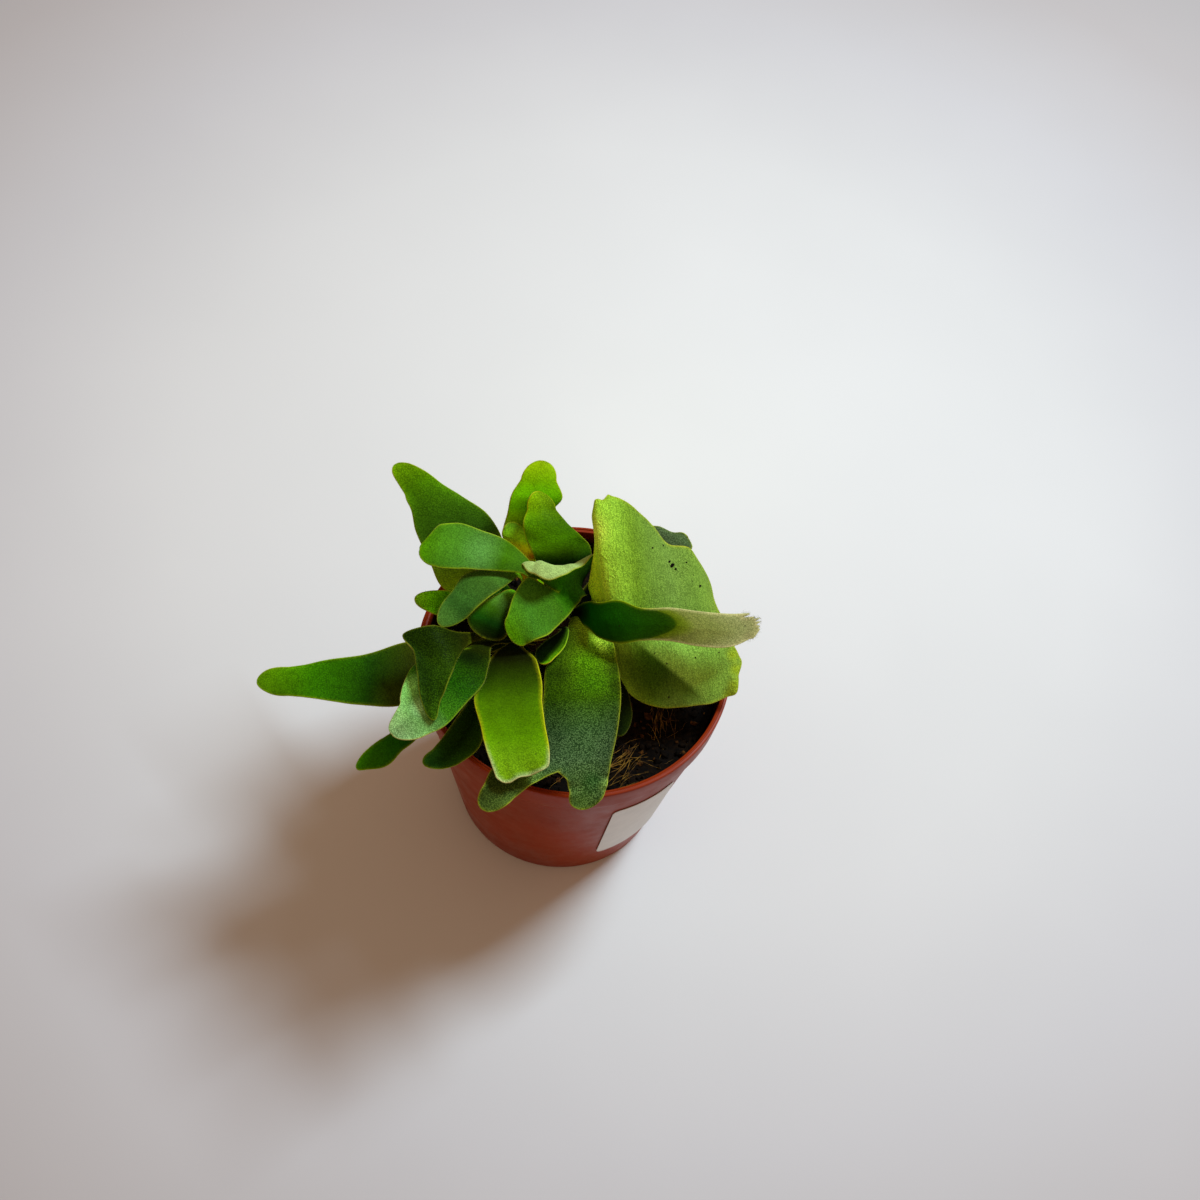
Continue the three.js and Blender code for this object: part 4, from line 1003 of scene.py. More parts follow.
def pick(piece):
    """Selects one piece alone and makes it the active one."""
    bpy.ops.object.select_all(action="DESELECT")
    piece.select_set(True)
    bpy.context.view_layer.objects.active = piece


def new_piece(name, points, faces):
    """Makes a piece of points in metres and faces."""
    mesh = bpy.data.meshes.new(name)
    mesh.from_pydata(points, [], faces)
    mesh.update()
    piece = bpy.data.objects.new(name, mesh)
    bpy.context.collection.objects.link(piece)
    return piece


def edit(piece):
    """Selects one piece alone and opens it for editing, with nothing in it selected."""
    if bpy.context.object and bpy.context.object.mode != "OBJECT":
        bpy.ops.object.mode_set(mode="OBJECT")
    pick(piece)
    bpy.ops.object.mode_set(mode="EDIT")
    bpy.ops.mesh.select_all(action="DESELECT")


def face_outward(piece):
    """Turns the faces of a closed piece outward."""
    edit(piece)
    bpy.ops.mesh.select_all(action="SELECT")
    bpy.ops.mesh.normals_make_consistent(inside=False)
    bpy.ops.object.mode_set(mode="OBJECT")


def take_up(piece, name):
    """Closes editing and puts a new piece's place into its mesh."""
    if piece.mode != "OBJECT":
        bpy.ops.object.mode_set(mode="OBJECT")
    pick(piece)
    bpy.ops.object.transform_apply(location=True, rotation=True, scale=True)
    piece.name = piece.data.name = name


def apply_modifier(piece, name, kind, **settings):
    """Adds a modifier with its settings and applies it."""
    bpy.context.view_layer.objects.active = piece
    made = piece.modifiers.new(name, kind)
    for key, value in settings.items():
        setattr(made, key, value)
    bpy.ops.object.modifier_apply(modifier=name)


def stand_for(piece, node_name):
    """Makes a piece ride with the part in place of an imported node, and hides that node."""
    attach(piece, "root")
    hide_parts(node_name)


def joined(pieces):
    """Joins pieces into the first of them."""
    pick(pieces[0])
    for piece in pieces[1:]:
        piece.select_set(True)
    if len(pieces) > 1:
        bpy.ops.object.join()
    return pieces[0]


def turned(name, outline, segments):
    """Turns an outline of [radius, height] pairs: a ring drawn up through it, with both ends filled."""
    bpy.ops.object.select_all(action="DESELECT")
    radius, height = outline[0]
    bpy.ops.mesh.primitive_circle_add(vertices=segments, radius=radius, location=(0, 0, height))
    piece = bpy.context.object
    bpy.ops.object.transform_apply(location=True, rotation=True, scale=True)
    bpy.ops.object.mode_set(mode="EDIT")
    bpy.ops.mesh.select_all(action="SELECT")
    bpy.ops.mesh.edge_face_add()
    bpy.ops.mesh.select_all(action="SELECT")
    bpy.ops.mesh.extrude_region_move(TRANSFORM_OT_translate={"value": (0, 0, 0)})
    for next_radius, next_height in outline[1:]:
        if (radius, height) != tuple(outline[0]):
            bpy.ops.mesh.extrude_region_move(TRANSFORM_OT_translate={"value": (0, 0, 0)})
        bpy.ops.transform.translate(value=(0, 0, next_height - height))
        grow = next_radius / radius
        bpy.ops.transform.resize(value=(grow, grow, 1), center_override=(0, 0, 0))
        radius, height = next_radius, next_height
    bpy.ops.mesh.select_all(action="SELECT")
    bpy.ops.mesh.normals_make_consistent(inside=False)
    take_up(piece, name)
    return piece


def wall_radius(sizes, height):
    """Outside radius of the pot's tapered wall at a height, in metres."""
    foot = sizes.pot_height - sizes.collar_height
    top = sizes.rim_radius - sizes.collar_taper - sizes.collar_step
    return sizes.base_radius + (top - sizes.base_radius) * height / foot


def crown_radius(height):
    """Outer radius of the crown at a height, in mm: a straight neck and a domed top."""
    up = max(0, (height - CROWN["shoulder"]) / (CROWN["top"] - CROWN["shoulder"]))
    return CROWN["radius"] * math.sqrt(max(0, 1 - up * up))


def along_curve(points, at):
    """Point of a centripetal Catmull-Rom curve, where at counts in its points."""
    last = len(points) - 1
    low = min(int(at), last - 1)
    share = at - low
    p1, p2 = points[low], points[low + 1]
    p0 = points[low - 1] if low > 0 else p1 * 2 - p2
    p3 = points[low + 2] if low + 2 <= last else p2 * 2 - p1
    d0, d1, d2 = (max((b - a).length ** 0.5, 1e-3) for a, b in ((p0, p1), (p1, p2), (p2, p3)))
    t1 = ((p1 - p0) / d0 - (p2 - p0) / (d0 + d1) + (p2 - p1) / d1) * d1
    t2 = ((p2 - p1) / d1 - (p3 - p1) / (d1 + d2) + (p3 - p2) / d2) * d1
    curve = (p2 - p1) * 3 - t1 * 2 - t2
    return p1 + t1 * share + curve * share**2 + ((p1 - p2) * 2 + t1 + t2) * share**3


class Blade:
    """One strip of a frond between two smooth margins, measured in stations that count its rows"""

    def __init__(self, rows, tip, steps, look):
        self.left = [Vector(row[0]) for row in rows]
        self.right = [Vector(row[1]) for row in rows]
        self.arches = [row[2] for row in rows]
        self.spans = len(rows) - 1
        self.tip = Vector(tip) if tip else None
        self.steps = steps
        self.look = look
        self.count = self.spans * steps + (TIP_ROWS if tip else 0)
        self.normals = self.row_normals()

    def row(self, station):
        """Left margin, right margin and arch at a station."""
        at = min(station, self.spans)
        low = min(int(at), self.spans - 1)
        arch = self.arches[low] + (self.arches[low + 1] - self.arches[low]) * (at - low)
        left, right = along_curve(self.left, at), along_curve(self.right, at)
        if station <= self.spans or not self.tip:
            return left, right, arch
        turn = (station - self.spans) * self.steps / TIP_ROWS * TIP_TURN
        middle = (left + right) / 2
        centre = middle.lerp(self.tip, math.sin(turn))
        shrink = math.cos(turn)
        return centre + (left - middle) * shrink, centre + (right - middle) * shrink, arch * shrink

    def row_normals(self):
        """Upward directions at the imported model's rows."""
        rows = [self.row(i / self.steps) for i in range(self.count + 1)]
        centres = [(left + right) / 2 for left, right, _ in rows]
        normals = []
        for i, (left, right, _) in enumerate(rows):
            ahead = centres[min(i + 1, self.count)] - centres[max(i - 1, 0)]
            if self.look["heading"]:
                ahead = Vector(self.look["heading"])
            normals.append(ahead.cross(left - right).normalized())
        return normals

    def normal(self, station):
        """Upward direction at a station."""
        at = min(station * self.steps, self.count)
        low = min(int(at), self.count - 1)
        return self.normals[low].lerp(self.normals[low + 1], at - low).normalized()

    def stations(self, cell):
        """Stations about a cell apart, closer round the tip."""
        found = [0.0]
        for i in range(self.spans * self.steps):
            here, ahead = self.row(i / self.steps), self.row((i + 1) / self.steps)
            far = max((ahead[0] - here[0]).length, (ahead[1] - here[1]).length)
            count = max(1, math.ceil(far / cell))
            found += [(i + (k + 1) / count) / self.steps for k in range(count)]
        if self.tip:
            left, right, _ = self.row(self.spans)
            turns = max(6, math.ceil((self.tip - (left + right) / 2).length / cell) + 3)
            for k in range(1, turns + 1):
                turn = k / turns * math.radians(87)
                found.append(self.spans + turn / TIP_TURN * TIP_ROWS / self.steps)
        return found

    def point(self, station, across):
        """Point of the strip's middle surface, across from -1 (left) to 1 (right)."""
        left, right, arch = self.row(station)
        normal = self.normal(station)
        chord = right - left
        half = math.radians(arch) / 2
        point = (left + right) / 2
        if abs(half) < 0.01:
            point = point + chord * across / 2
        else:
            radius = 1 / (2 * math.sin(half))
            rise = (math.cos(across * half) - math.cos(half)) * radius * chord.length
            point = point + chord * math.sin(across * half) * radius + normal * rise
        along = station * self.steps / self.count
        phase = along * self.look["waves"] + (0 if across < 0 else WAVE_SHIFT)
        sway = math.sin(phase * 2 * math.pi) * across * across * min(1, along * 3, chord.length / 8)
        return point + normal * self.look["height"] * sway


def frond_strips(frond, cell):
    """Strips of a frond as grids of [point, across the whole blade, length so far], in mm."""
    azimuth, height = frond["root"]
    out = Vector((math.cos(math.radians(azimuth)), math.sin(math.radians(azimuth)), 0))
    side = Vector((-out.y, out.x, 0)) * STALK * (-0.5 if frond.get("flip") else 0.5)
    foot = Vector((CROWN["x"], CROWN["y"], height)) + out * (crown_radius(height) + SEAT_GAP)
    first = frond["rows"][0]
    steepness = abs(((Vector(first[0]) + Vector(first[1])) / 2 - foot).normalized().z)
    foot += out * steepness * frond["mid"] / 2
    root_row = (foot + side, foot - side, 0)
    look = {"height": frond["wave"][0], "waves": frond["wave"][1], "heading": frond.get("heading")}
    steps = frond.get("steps", 2)
    trunk = Blade([root_row, *frond["rows"]], frond.get("tip"), steps, look)
    cell /= frond.get("fine", 1)
    widest = max((a - b).length for a, b in zip(trunk.left, trunk.right))
    arc = 1 + max(abs(a) for a in trunk.arches) / 180
    columns = 4 * max(2, math.ceil(widest * arc / cell / 4))
    places = [(2 * j / columns - 1) for j in range(columns + 1)]
    stations = trunk.stations(cell)
    grid = [[trunk.point(s, a) for a in places] for s in stations]
    dress_end(grid, stations, trunk, frond, places)
    if not frond.get("lobes"):
        return [measured(grid, places, 0)]
    fork = Vector(frond["fork"])
    pull = fork - grid[-1][columns // 2]
    for row, station in zip(grid, stations):
        share = min(1, max(0, (station - trunk.spans + 0.5) * 2))
        for j, across in enumerate(places):
            row[j] = row[j] + pull * share * (1 - abs(across)) ** 2
    strips = [measured(grid, places, 0)]
    so_far = strips[0][-1][columns // 2][2]
    left, right, arch = trunk.row(trunk.spans)
    edges = [(left, fork), (fork, right)]
    half = columns // 2
    for number, lobe in enumerate(frond["lobes"]):
        strip = Blade([(*edges[number], arch / 2), *lobe["rows"]], lobe["tip"], steps, look)
        spots = [(2 * j / half - 1) for j in range(half + 1)]
        shared = grid[-1][number * half : number * half + half + 1]
        offsets = [shared[j] - strip.point(0, a) for j, a in enumerate(spots)]
        lines = []
        for s in strip.stations(cell):
            share = max(0, 1 - s * steps)
            lines.append([strip.point(s, a) + offsets[j] * share for j, a in enumerate(spots)])
        strips.append(measured(lines, [(a + 2 * number - 1) / 2 for a in spots], so_far))
    return strips


def dress_end(grid, stations, blade, frond, places):
    """Shapes the end of a frond that is cut across: in and out by its cut, up and down by its crimp."""
    if "cut" not in frond:
        return
    up = blade.normal(blade.spans)
    middle = len(places) // 2
    ahead = (grid[-1][middle] - grid[-4][middle]).normalized()
    for row, station in zip(grid, stations):
        share = min(1, max(0, (station - blade.spans + 0.5) * 2)) ** 2
        for j, across in enumerate(places):
            ruffle = frond.get("crimp", 0) * 0.5 * math.sin(across * 7)
            row[j] = row[j] + (ahead * at_values(frond["cut"], across) + up * ruffle) * share


def measured(grid, places, start):
    """Adds to each point its place across the whole blade and its length along it."""
    lengths = [start]
    middle = len(places) // 2
    for here, ahead in zip(grid, grid[1:]):
        lengths.append(lengths[-1] + (ahead[middle] - here[middle]).length)
    return [[(point, places[j], lengths[i]) for j, point in enumerate(row)] for i, row in enumerate(grid)]


def strip_sheet(strip):
    """Lays a grid primitive into the shape of one strip."""
    rows, columns = len(strip) - 1, len(strip[0]) - 1
    bpy.ops.object.select_all(action="DESELECT")
    bpy.ops.mesh.primitive_grid_add(x_subdivisions=columns, y_subdivisions=rows, size=2)
    sheet = bpy.context.object
    blade = sheet.data.attributes.new("blade", "FLOAT_VECTOR", "POINT")
    for vertex, value in zip(sheet.data.vertices, blade.data):
        j = round((vertex.co.x + 1) / 2 * columns)
        i = round((vertex.co.y + 1) / 2 * rows)
        point, across, length = strip[i][j]
        value.vector = (across, length, 0)
        vertex.co = point * MM
    return sheet


def at_stops(stops, share):
    """Colour between stops of [share, hex colour]."""
    if share <= stops[0][0]:
        return Vector(linear(stops[0][1])[:3])
    for (low, first), (high, second) in zip(stops, stops[1:]):
        if share <= high:
            return Vector(linear(first)[:3]).lerp(Vector(linear(second)[:3]), (share - low) / (high - low))
    return Vector(linear(stops[-1][1])[:3])


def at_values(stops, share):
    """Number between stops of [share, number]."""
    if share <= stops[0][0]:
        return stops[0][1]
    for (low, first), (high, second) in zip(stops, stops[1:]):
        if share <= high:
            return first + (second - first) * (share - low) / (high - low)
    return stops[-1][1]


def open_edges(mesh):
    """Edges of a sheet that have one face, with the middle of that face."""
    faces = {}
    for face in mesh.polygons:
        for key in face.edge_keys:
            faces.setdefault(key, []).append(face)
    return [(key, found[0]) for key, found in faces.items() if len(found) == 1]


def paint_blade(sheet, frond, sizes):
    """Measures each point's distance to the margin, then crinkles, thickens and colours the sheet by it."""
    mesh = sheet.data
    for name, kind in (("leaf_colour", "FLOAT_COLOR"), ("under_colour", "FLOAT_COLOR"), ("felt", "FLOAT")):
        mesh.attributes.new(name, kind, "POINT")
    blade = mesh.attributes["blade"].data
    rim = set()
    for key, _ in open_edges(mesh):
        if any(blade[i].vector[1] > 0.05 for i in key):
            rim.update(key)
    tree = kdtree.KDTree(len(rim))
    for i in rim:
        tree.insert(mesh.vertices[i].co, i)
    tree.balance()
    longest = max(value.vector[1] for value in blade)
    colour, under, felt = (mesh.attributes[name].data for name in ("leaf_colour", "under_colour", "felt"))
    group = sheet.vertex_groups.new(name="thickness")
    edge_share = sizes.margin / sizes.midrib
    seed = Vector((sum(map(ord, sheet.name)) % 97, 0, 0))
    moved = []
    for vertex, value, top, low, hair in zip(mesh.vertices, blade, colour, under, felt):
        across, length, _ = value.vector
        margin = tree.find(vertex.co)[2] / MM
        share = length / longest
        value.vector = (across, length / 10, margin)
        middle, gain = frond.get("tongue", (0, 0))
        share += gain * (across - middle) ** 2
        # Colour with painted light and shade: stops along the blade and sides across it, then the rim band and
        # dabs
        paint = at_stops(frond["colours"], share) * at_values(frond.get("sides", SIDES), across)
        width, rim_colours, strength = frond.get("rim", RIM)
        paint = paint.lerp(at_stops(rim_colours, share), strength * max(0, 1 - margin / width))
        place = vertex.co / MM
        for centre, radius, dab, strength, *facing in frond.get("dabs", ()):
            offset = place - Vector(centre)
            near = offset.length / radius
            if near < 1:
                side = min(1, max(0, 0.5 + offset.dot(Vector(facing[0])))) if facing else 1
                paint = paint.lerp(Vector(linear(dab)[:3]), side * strength * (1 - near * near) ** 2)
        top.color = (*paint, 1)
        low.color = (*at_stops(frond.get("under", UNDER), share), 1)
        hair.value = at_values(frond.get("felt", FELT), share)
        group.add([vertex.index], edge_share + (1 - edge_share) * min(1, margin / 5), "REPLACE")
        wave = noise.noise(place / 6 + seed) + 0.35 * noise.noise(place / 2.2 + seed)
        moved.append(vertex.normal * wave * sizes.crinkle * min(1, length / 6))
    for vertex, step in zip(mesh.vertices, moved):
        vertex.co = vertex.co + step


def pull_sheet(sheet, pulls):
    """Draws the sheet softly at a few places: [centre, radius, shift], in mm."""
    for vertex in sheet.data.vertices:
        for centre, radius, shift in pulls:
            near = (vertex.co / MM - Vector(centre)).length / radius
            if near < 1:
                vertex.co = vertex.co + Vector(shift) * (1 - near * near) ** 2 * MM


def smooth_seam(sheet, strips):
    """Eases the crease where a frond forks, and leaves its margins alone."""
    mesh = sheet.data
    seam = [point * MM for point, _, _ in strips[0][-1]]
    rim = {i for key, _ in open_edges(mesh) for i in key}
    edit(sheet)
    bpy.ops.object.mode_set(mode="OBJECT")
    for vertex in mesh.vertices:
        near = min((vertex.co - point).length for point in seam)
        vertex.select = near < 3.5 * MM and vertex.index not in rim
    bpy.ops.object.mode_set(mode="EDIT")
    bpy.ops.mesh.vertices_smooth(factor=0.5, repeat=8)
    bpy.ops.object.mode_set(mode="OBJECT")


def hair_lines(sheet, frond, sizes, dice):
    """Roots, directions and lengths of the hairs along a frond's margin."""
    mesh = sheet.data
    blade = mesh.attributes["blade"].data
    longest = max(value.vector[1] for value in blade)
    found = []
    for (a, b), face in open_edges(mesh):
        if max(blade[a].vector[1], blade[b].vector[1]) < 0.08:
            continue
        start, end = mesh.vertices[a].co, mesh.vertices[b].co
        along = end - start
        outward = (start + end) / 2 - face.center
        outward = (outward - along.normalized() * outward.dot(along.normalized())).normalized()
        nearest = min(blade[a].vector[1], blade[b].vector[1])
        fringed = "fine" in frond and "cut" in frond and nearest > longest * FRINGE["from"]
        gap, length = (FRINGE["gap"] * MM, FRINGE["length"] * MM) if fringed else (sizes.hair_gap, sizes.hair)
        count = int(along.length / gap + dice.random())
        for _ in range(count):
            root = start.lerp(end, dice.random()) - outward * 0.25 * MM
            lift = face.normal * dice.uniform(-0.25, 0.25) * MM
            lean = along.normalized() * dice.uniform(-0.5, 0.5) + face.normal * dice.uniform(-0.5, 0.5)
            reach = length * dice.uniform(0.5, 1.3)
            found.append((root + lift, (outward + lean).normalized(), reach, face.normal.copy()))
    return found


def hair_mesh(name, lines, width, dice):
    """One mesh of short tapering three-sided hairs."""
    points, faces = [], []
    for root, direction, length, normal in lines:
        side = direction.cross(normal).normalized() * width / 2
        lift = direction.cross(side).normalized() * width / 2
        first = len(points)
        droop = Vector((0, 0, -0.12 * length * dice.random()))
        end = root + direction * (length + 0.25 * MM) + droop
        points += [root + side, root - side * 0.5 + lift, root - side * 0.5 - lift, end]
        faces += [(first, first + 1, first + 3), (first + 1, first + 2, first + 3)]
        faces += [(first + 2, first, first + 3), (first + 2, first + 1, first)]
    hairs = new_piece(name, points, faces)
    face_outward(hairs)
    return hairs


def build_frond(name, frond, sizes, finishes, dice):
    """Lays out, thickens, rounds and hairs one frond."""
    strips = frond_strips({**frond, "mid": sizes.midrib / MM}, sizes.cell / MM)
    sheets = [strip_sheet(strip) for strip in strips]
    sheet = joined(sheets)
    sheet.name = sheet.data.name = name + "_blade"
    edit(sheet)
    bpy.ops.mesh.select_all(action="SELECT")
    bpy.ops.mesh.remove_doubles(threshold=0.002 * MM)
    bpy.ops.object.mode_set(mode="OBJECT")
    if len(strips) > 1:
        smooth_seam(sheet, strips)
    pull_sheet(sheet, frond.get("pulls", ()))
    paint_blade(sheet, frond, sizes)
    lines = hair_lines(sheet, frond, sizes, dice)
    for finish in finishes:
        sheet.data.materials.append(finish)
    apply_modifier(
        sheet, "Thickness", "SOLIDIFY", thickness=sizes.midrib, offset=0, vertex_group="thickness",
        use_quality_normals=True, material_offset=1, material_offset_rim=2,
    )
    apply_modifier(sheet, "Rounding", "SUBSURF", levels=1, render_levels=1)
    pick(sheet)
    bpy.ops.object.shade_smooth()
    hairs = hair_mesh(name + "_hair", lines, HAIR_WIDTH * MM, dice)
    for finish in finishes:
        hairs.data.materials.append(finish)
    for face in hairs.data.polygons:
        face.material_index = 3
    return joined([sheet, hairs])


def place_camera(scene):
    """Sets the camera where the photograph was taken from."""
    data = bpy.data.cameras.new("camera")
    data.lens, data.sensor_width = CAMERA["lens"], CAMERA["sensor"]
    data.clip_start, data.clip_end = 0.01, 20
    camera = bpy.data.objects.new("camera", data)
    right, up = Vector(CAMERA_RIGHT), Vector(CAMERA_UP)
    back = right.cross(up)
    for column, axis in enumerate((right, up, back)):
        for row in range(3):
            camera.matrix_world[row][column] = axis[row]
    camera.location = CAMERA["place"]
    scene.collection.objects.link(camera)
    scene.camera = camera


def area_light(name, place, size, watts, colour):
    """Adds a square soft light that faces the plant."""
    data = bpy.data.lights.new(name, "AREA")
    data.shape, data.size, data.energy, data.color = "SQUARE", size, watts, colour
    lamp = bpy.data.objects.new(name, data)
    lamp.location = place
    lamp.rotation_euler = (Vector((0, 0, 0.05)) - Vector(place)).to_track_quat("-Z", "Y").to_euler()
    bpy.context.scene.collection.objects.link(lamp)


class FERN_OT_pot(bpy.types.Operator):
    """Turn the pot with its collar, rolled rim and drain holes"""

    bl_idname = "fern.pot"
    bl_label = "Pot"

    def execute(self, context):
        s = context.scene.fern_sizes
        foot = s.pot_height - s.collar_height
        top = s.rim_radius - s.collar_taper - s.collar_step
        corner = POT_CORNER * MM
        outline = [
            (s.base_radius - corner, 0),
            (s.base_radius - 0.3 * corner, 0.2 * corner),
            (wall_radius(s, corner), corner),
            (wall_radius(s, foot * 0.33), foot * 0.33),
            (wall_radius(s, foot * 0.66), foot * 0.66),
            (top - 0.05 * MM, foot - 1.2 * MM),
            (top + 0.05 * MM, foot - 0.6 * MM),
            (s.rim_radius - s.collar_taper - 0.2 * MM, foot + 0.9 * MM),
            (s.rim_radius - s.collar_taper, foot + 1.5 * MM),
            *((s.rim_radius - inward * MM, s.pot_height - down * MM) for inward, down in RIM_TOP),
            (s.rim_radius - 1.9 * MM, s.pot_height - 5.5 * MM),
            (s.rim_radius - 2 * MM, foot + corner),
            (top - s.wall, foot - corner),
            (wall_radius(s, s.floor) - s.wall, s.floor),
        ]
        pot = turned("nursery_pot", outline, POT_FLATS)
        drills = []
        circle, radius = DRAINS["circle"] * MM, DRAINS["radius"] * MM
        for i in range(DRAINS["count"]):
            turn = i / DRAINS["count"] * 2 * math.pi
            spot = (circle * math.cos(turn), circle * math.sin(turn), s.floor / 2)
            bpy.ops.mesh.primitive_cylinder_add(
                vertices=DRAINS["flats"], radius=radius, depth=3 * s.floor, location=spot
            )
            drills.append(bpy.context.object)
        drill = joined(drills)
        apply_modifier(pot, "Drain holes", "BOOLEAN", operation="DIFFERENCE", object=drill, solver="EXACT")
        bpy.data.objects.remove(drill)
        pick(pot)
        bpy.ops.object.shade_smooth_by_angle(angle=math.radians(40))
        # Painted shade inside the pot, with peat stain: the inner wall darkens from just under the rim
        stain = pot.data.attributes.new("stain", "FLOAT", "POINT")
        for vertex, value in zip(pot.data.vertices, stain.data):
            above = vertex.co.z > foot
            inner = s.rim_radius - 1.7 * MM if above else wall_radius(s, vertex.co.z) - 0.7 * s.wall
            deep = (s.pot_height - 0.4 * MM - vertex.co.z) / (1.5 * MM)
            value.value = 0.94 * min(1, max(0, deep)) if vertex.co.xy.length < inner else 0
        pot.data.materials.append(moulded_plastic(context.scene.fern_colours))
        stand_for(pot, "pot")
        return {"FINISHED"}


class FERN_OT_label(bpy.types.Operator):
    """Lay the blank label round the pot's wall"""

    bl_idname = "fern.label"
    bl_label = "Label"

    def rounded(self, x, y, half_width, half_height, radius):
        """Moves a point of a rectangle into the same rectangle with rounded corners, in mm."""
        over_x, over_y = abs(x) - half_width + radius, abs(y) - half_height + radius
        if over_x <= 0 or over_y <= 0:
            return x, y
        shrink = max(over_x, over_y) / math.hypot(over_x, over_y)
        x = math.copysign(half_width - radius + over_x * shrink, x)
        return x, math.copysign(half_height - radius + over_y * shrink, y)

    def execute(self, context):
        s = context.scene.fern_sizes
        azimuth, width, top, bottom, lean = LABEL.values()
        half_width, half_height = width / 2, (top - bottom) / 2
        columns, rows = LABEL_SHEET["columns"], LABEL_SHEET["rows"]
        bpy.ops.object.select_all(action="DESELECT")
        bpy.ops.mesh.primitive_grid_add(x_subdivisions=columns, y_subdivisions=rows, size=2)
        label = bpy.context.object
        for vertex in label.data.vertices:
            x, y = vertex.co.x * width / 2, vertex.co.y * (top - bottom) / 2
            x, y = self.rounded(x, y, half_width, half_height, LABEL_SHEET["corner"])
            across, down = x / width + 0.5, 0.5 - y / (top - bottom)
            height = (top + (bottom - top) * down) * MM
            # The lower corner next to the seam has lifted a little
            lifted = 0.5 * max(0, across - 0.75) * max(0, down - 0.8) * 16
            radius = wall_radius(s, height) + (LABEL_SHEET["clear"] + lifted * 0.15) * MM
            angle = math.radians(azimuth) + (width * (across - 0.5) + lean * down) * MM / radius
            vertex.co = (radius * math.cos(angle), radius * math.sin(angle), height)
        label.name = label.data.name = "paper_label"
        apply_modifier(label, "Thickness", "SOLIDIFY", thickness=LABEL_SHEET["thickness"] * MM, offset=0)
        pick(label)
        bpy.ops.object.shade_smooth_by_angle(angle=math.radians(30))
        label.data.materials.append(coated_paper(context.scene.fern_colours))
        stand_for(label, "pot_label")
        return {"FINISHED"}


def mix_height(x, y):
    """Height of the mix over its level, in mm: soft hummocks with crumbs on them."""
    place = Vector((x, y, 0))
    lumps = noise.noise(place / 9) * 1.0 + noise.noise(place / 3.1) * 0.8
    return lumps + noise.noise(place / 1.3) * 0.55


class FERN_OT_mix(bpy.types.Operator):
    """Fill the pot with crumbly potting mix"""

    bl_idname = "fern.mix"
    bl_label = "Potting mix"

    def execute(self, context):
        s = context.scene.fern_sizes
        level = s.mix_level
        base = s.floor + 0.3 * MM
        edge = wall_radius(s, level) - s.wall - 0.35 * MM
        outline = [(wall_radius(s, base) - s.wall - 0.45 * MM, base), (edge, level - 1.2 * MM)]
        outline += [(edge * (1 - (i / MIX_RINGS) * 0.99), level) for i in range(MIX_RINGS + 1)]
        mixture = turned("peat_mix", outline, MIX_FLATS)
        for vertex in mixture.data.vertices:
            if vertex.co.z > level - 0.5 * MM:
                x, y = vertex.co.x / MM, vertex.co.y / MM
                fade = min(1, (edge / MM - math.hypot(x, y)) / 3 + 0.2)
                vertex.co.z = level + mix_height(x, y) * fade * MM
        bpy.ops.object.select_all(action="DESELECT")
        bpy.ops.mesh.primitive_cylinder_add(
            vertices=64, radius=(CROWN["radius"] + SEAT_GAP) * MM, depth=30 * MM,
            location=(CROWN["x"] * MM, CROWN["y"] * MM, (CROWN["bottom"] - SEAT_GAP + 15) * MM),
        )
        drill = bpy.context.object
        apply_modifier(mixture, "Crown hole", "BOOLEAN", operation="DIFFERENCE", object=drill, solver="EXACT")
        bpy.data.objects.remove(drill)
        crumbs = self.crumbs(s, edge / MM, level / MM)
        mixture = joined([mixture, crumbs])
        pick(mixture)
        bpy.ops.object.shade_smooth_by_angle(angle=math.radians(50))
        mixture.data.materials.clear()
        mixture.data.materials.append(damp_peat(context.scene.fern_colours))
        stand_for(mixture, "potting_mix")
        return {"FINISHED"}

    def crumbs(self, sizes, edge, level):
        """Crumbs of many sizes, sunk by about a third of their height into the mix."""
        dice = random.Random(SEEDS["crumbs"])
        bpy.ops.mesh.primitive_ico_sphere_add(subdivisions=1, radius=0.5)
        lump = bpy.context.object
        shape = [vertex.co.copy() for vertex in lump.data.vertices]
        sides = [tuple(face.vertices) for face in lump.data.polygons]
        bpy.data.objects.remove(lump)
        points, faces, dryness = [], [], []
        for _ in range(CRUMBS):
            turn, reach = dice.uniform(0, 2 * math.pi), (edge - 0.8) * math.sqrt(dice.random())
            x, y = reach * math.cos(turn), reach * math.sin(turn)
            if math.hypot(x - CROWN["x"], y - CROWN["y"]) < CROWN["radius"] + 1.2:
                continue
            size = sizes.crumb / MM * min(2.4, dice.lognormvariate(-0.1, 0.5))
            fade = min(1, (edge - reach) / 3 + 0.2)
            centre = Vector((x, y, level + mix_height(x, y) * fade + size * 0.12))
            stretch = Vector((dice.uniform(0.6, 1.3), dice.uniform(0.6, 1.3), dice.uniform(0.5, 0.9)))
            by_coir = math.dist((x, y), BARK["middle"]) < BARK["reach"]
            chance = BARK["share_near"] if by_coir else BARK["share_far"]
            dryness += [dice.uniform(0.4, 1) if dice.random() < chance else 0.0] * len(shape)
            first = len(points)
            for corner in shape:
                jitter = 1 + dice.uniform(-0.28, 0.28)
                points.append((centre + corner * stretch * size * jitter) * MM)
            faces += [tuple(first + i for i in side) for side in sides]
        crumbs = new_piece("crumbs", points, faces)
        for value, share in zip(crumbs.data.attributes.new("dry", "FLOAT", "POINT").data, dryness):
            value.value = share
        return crumbs


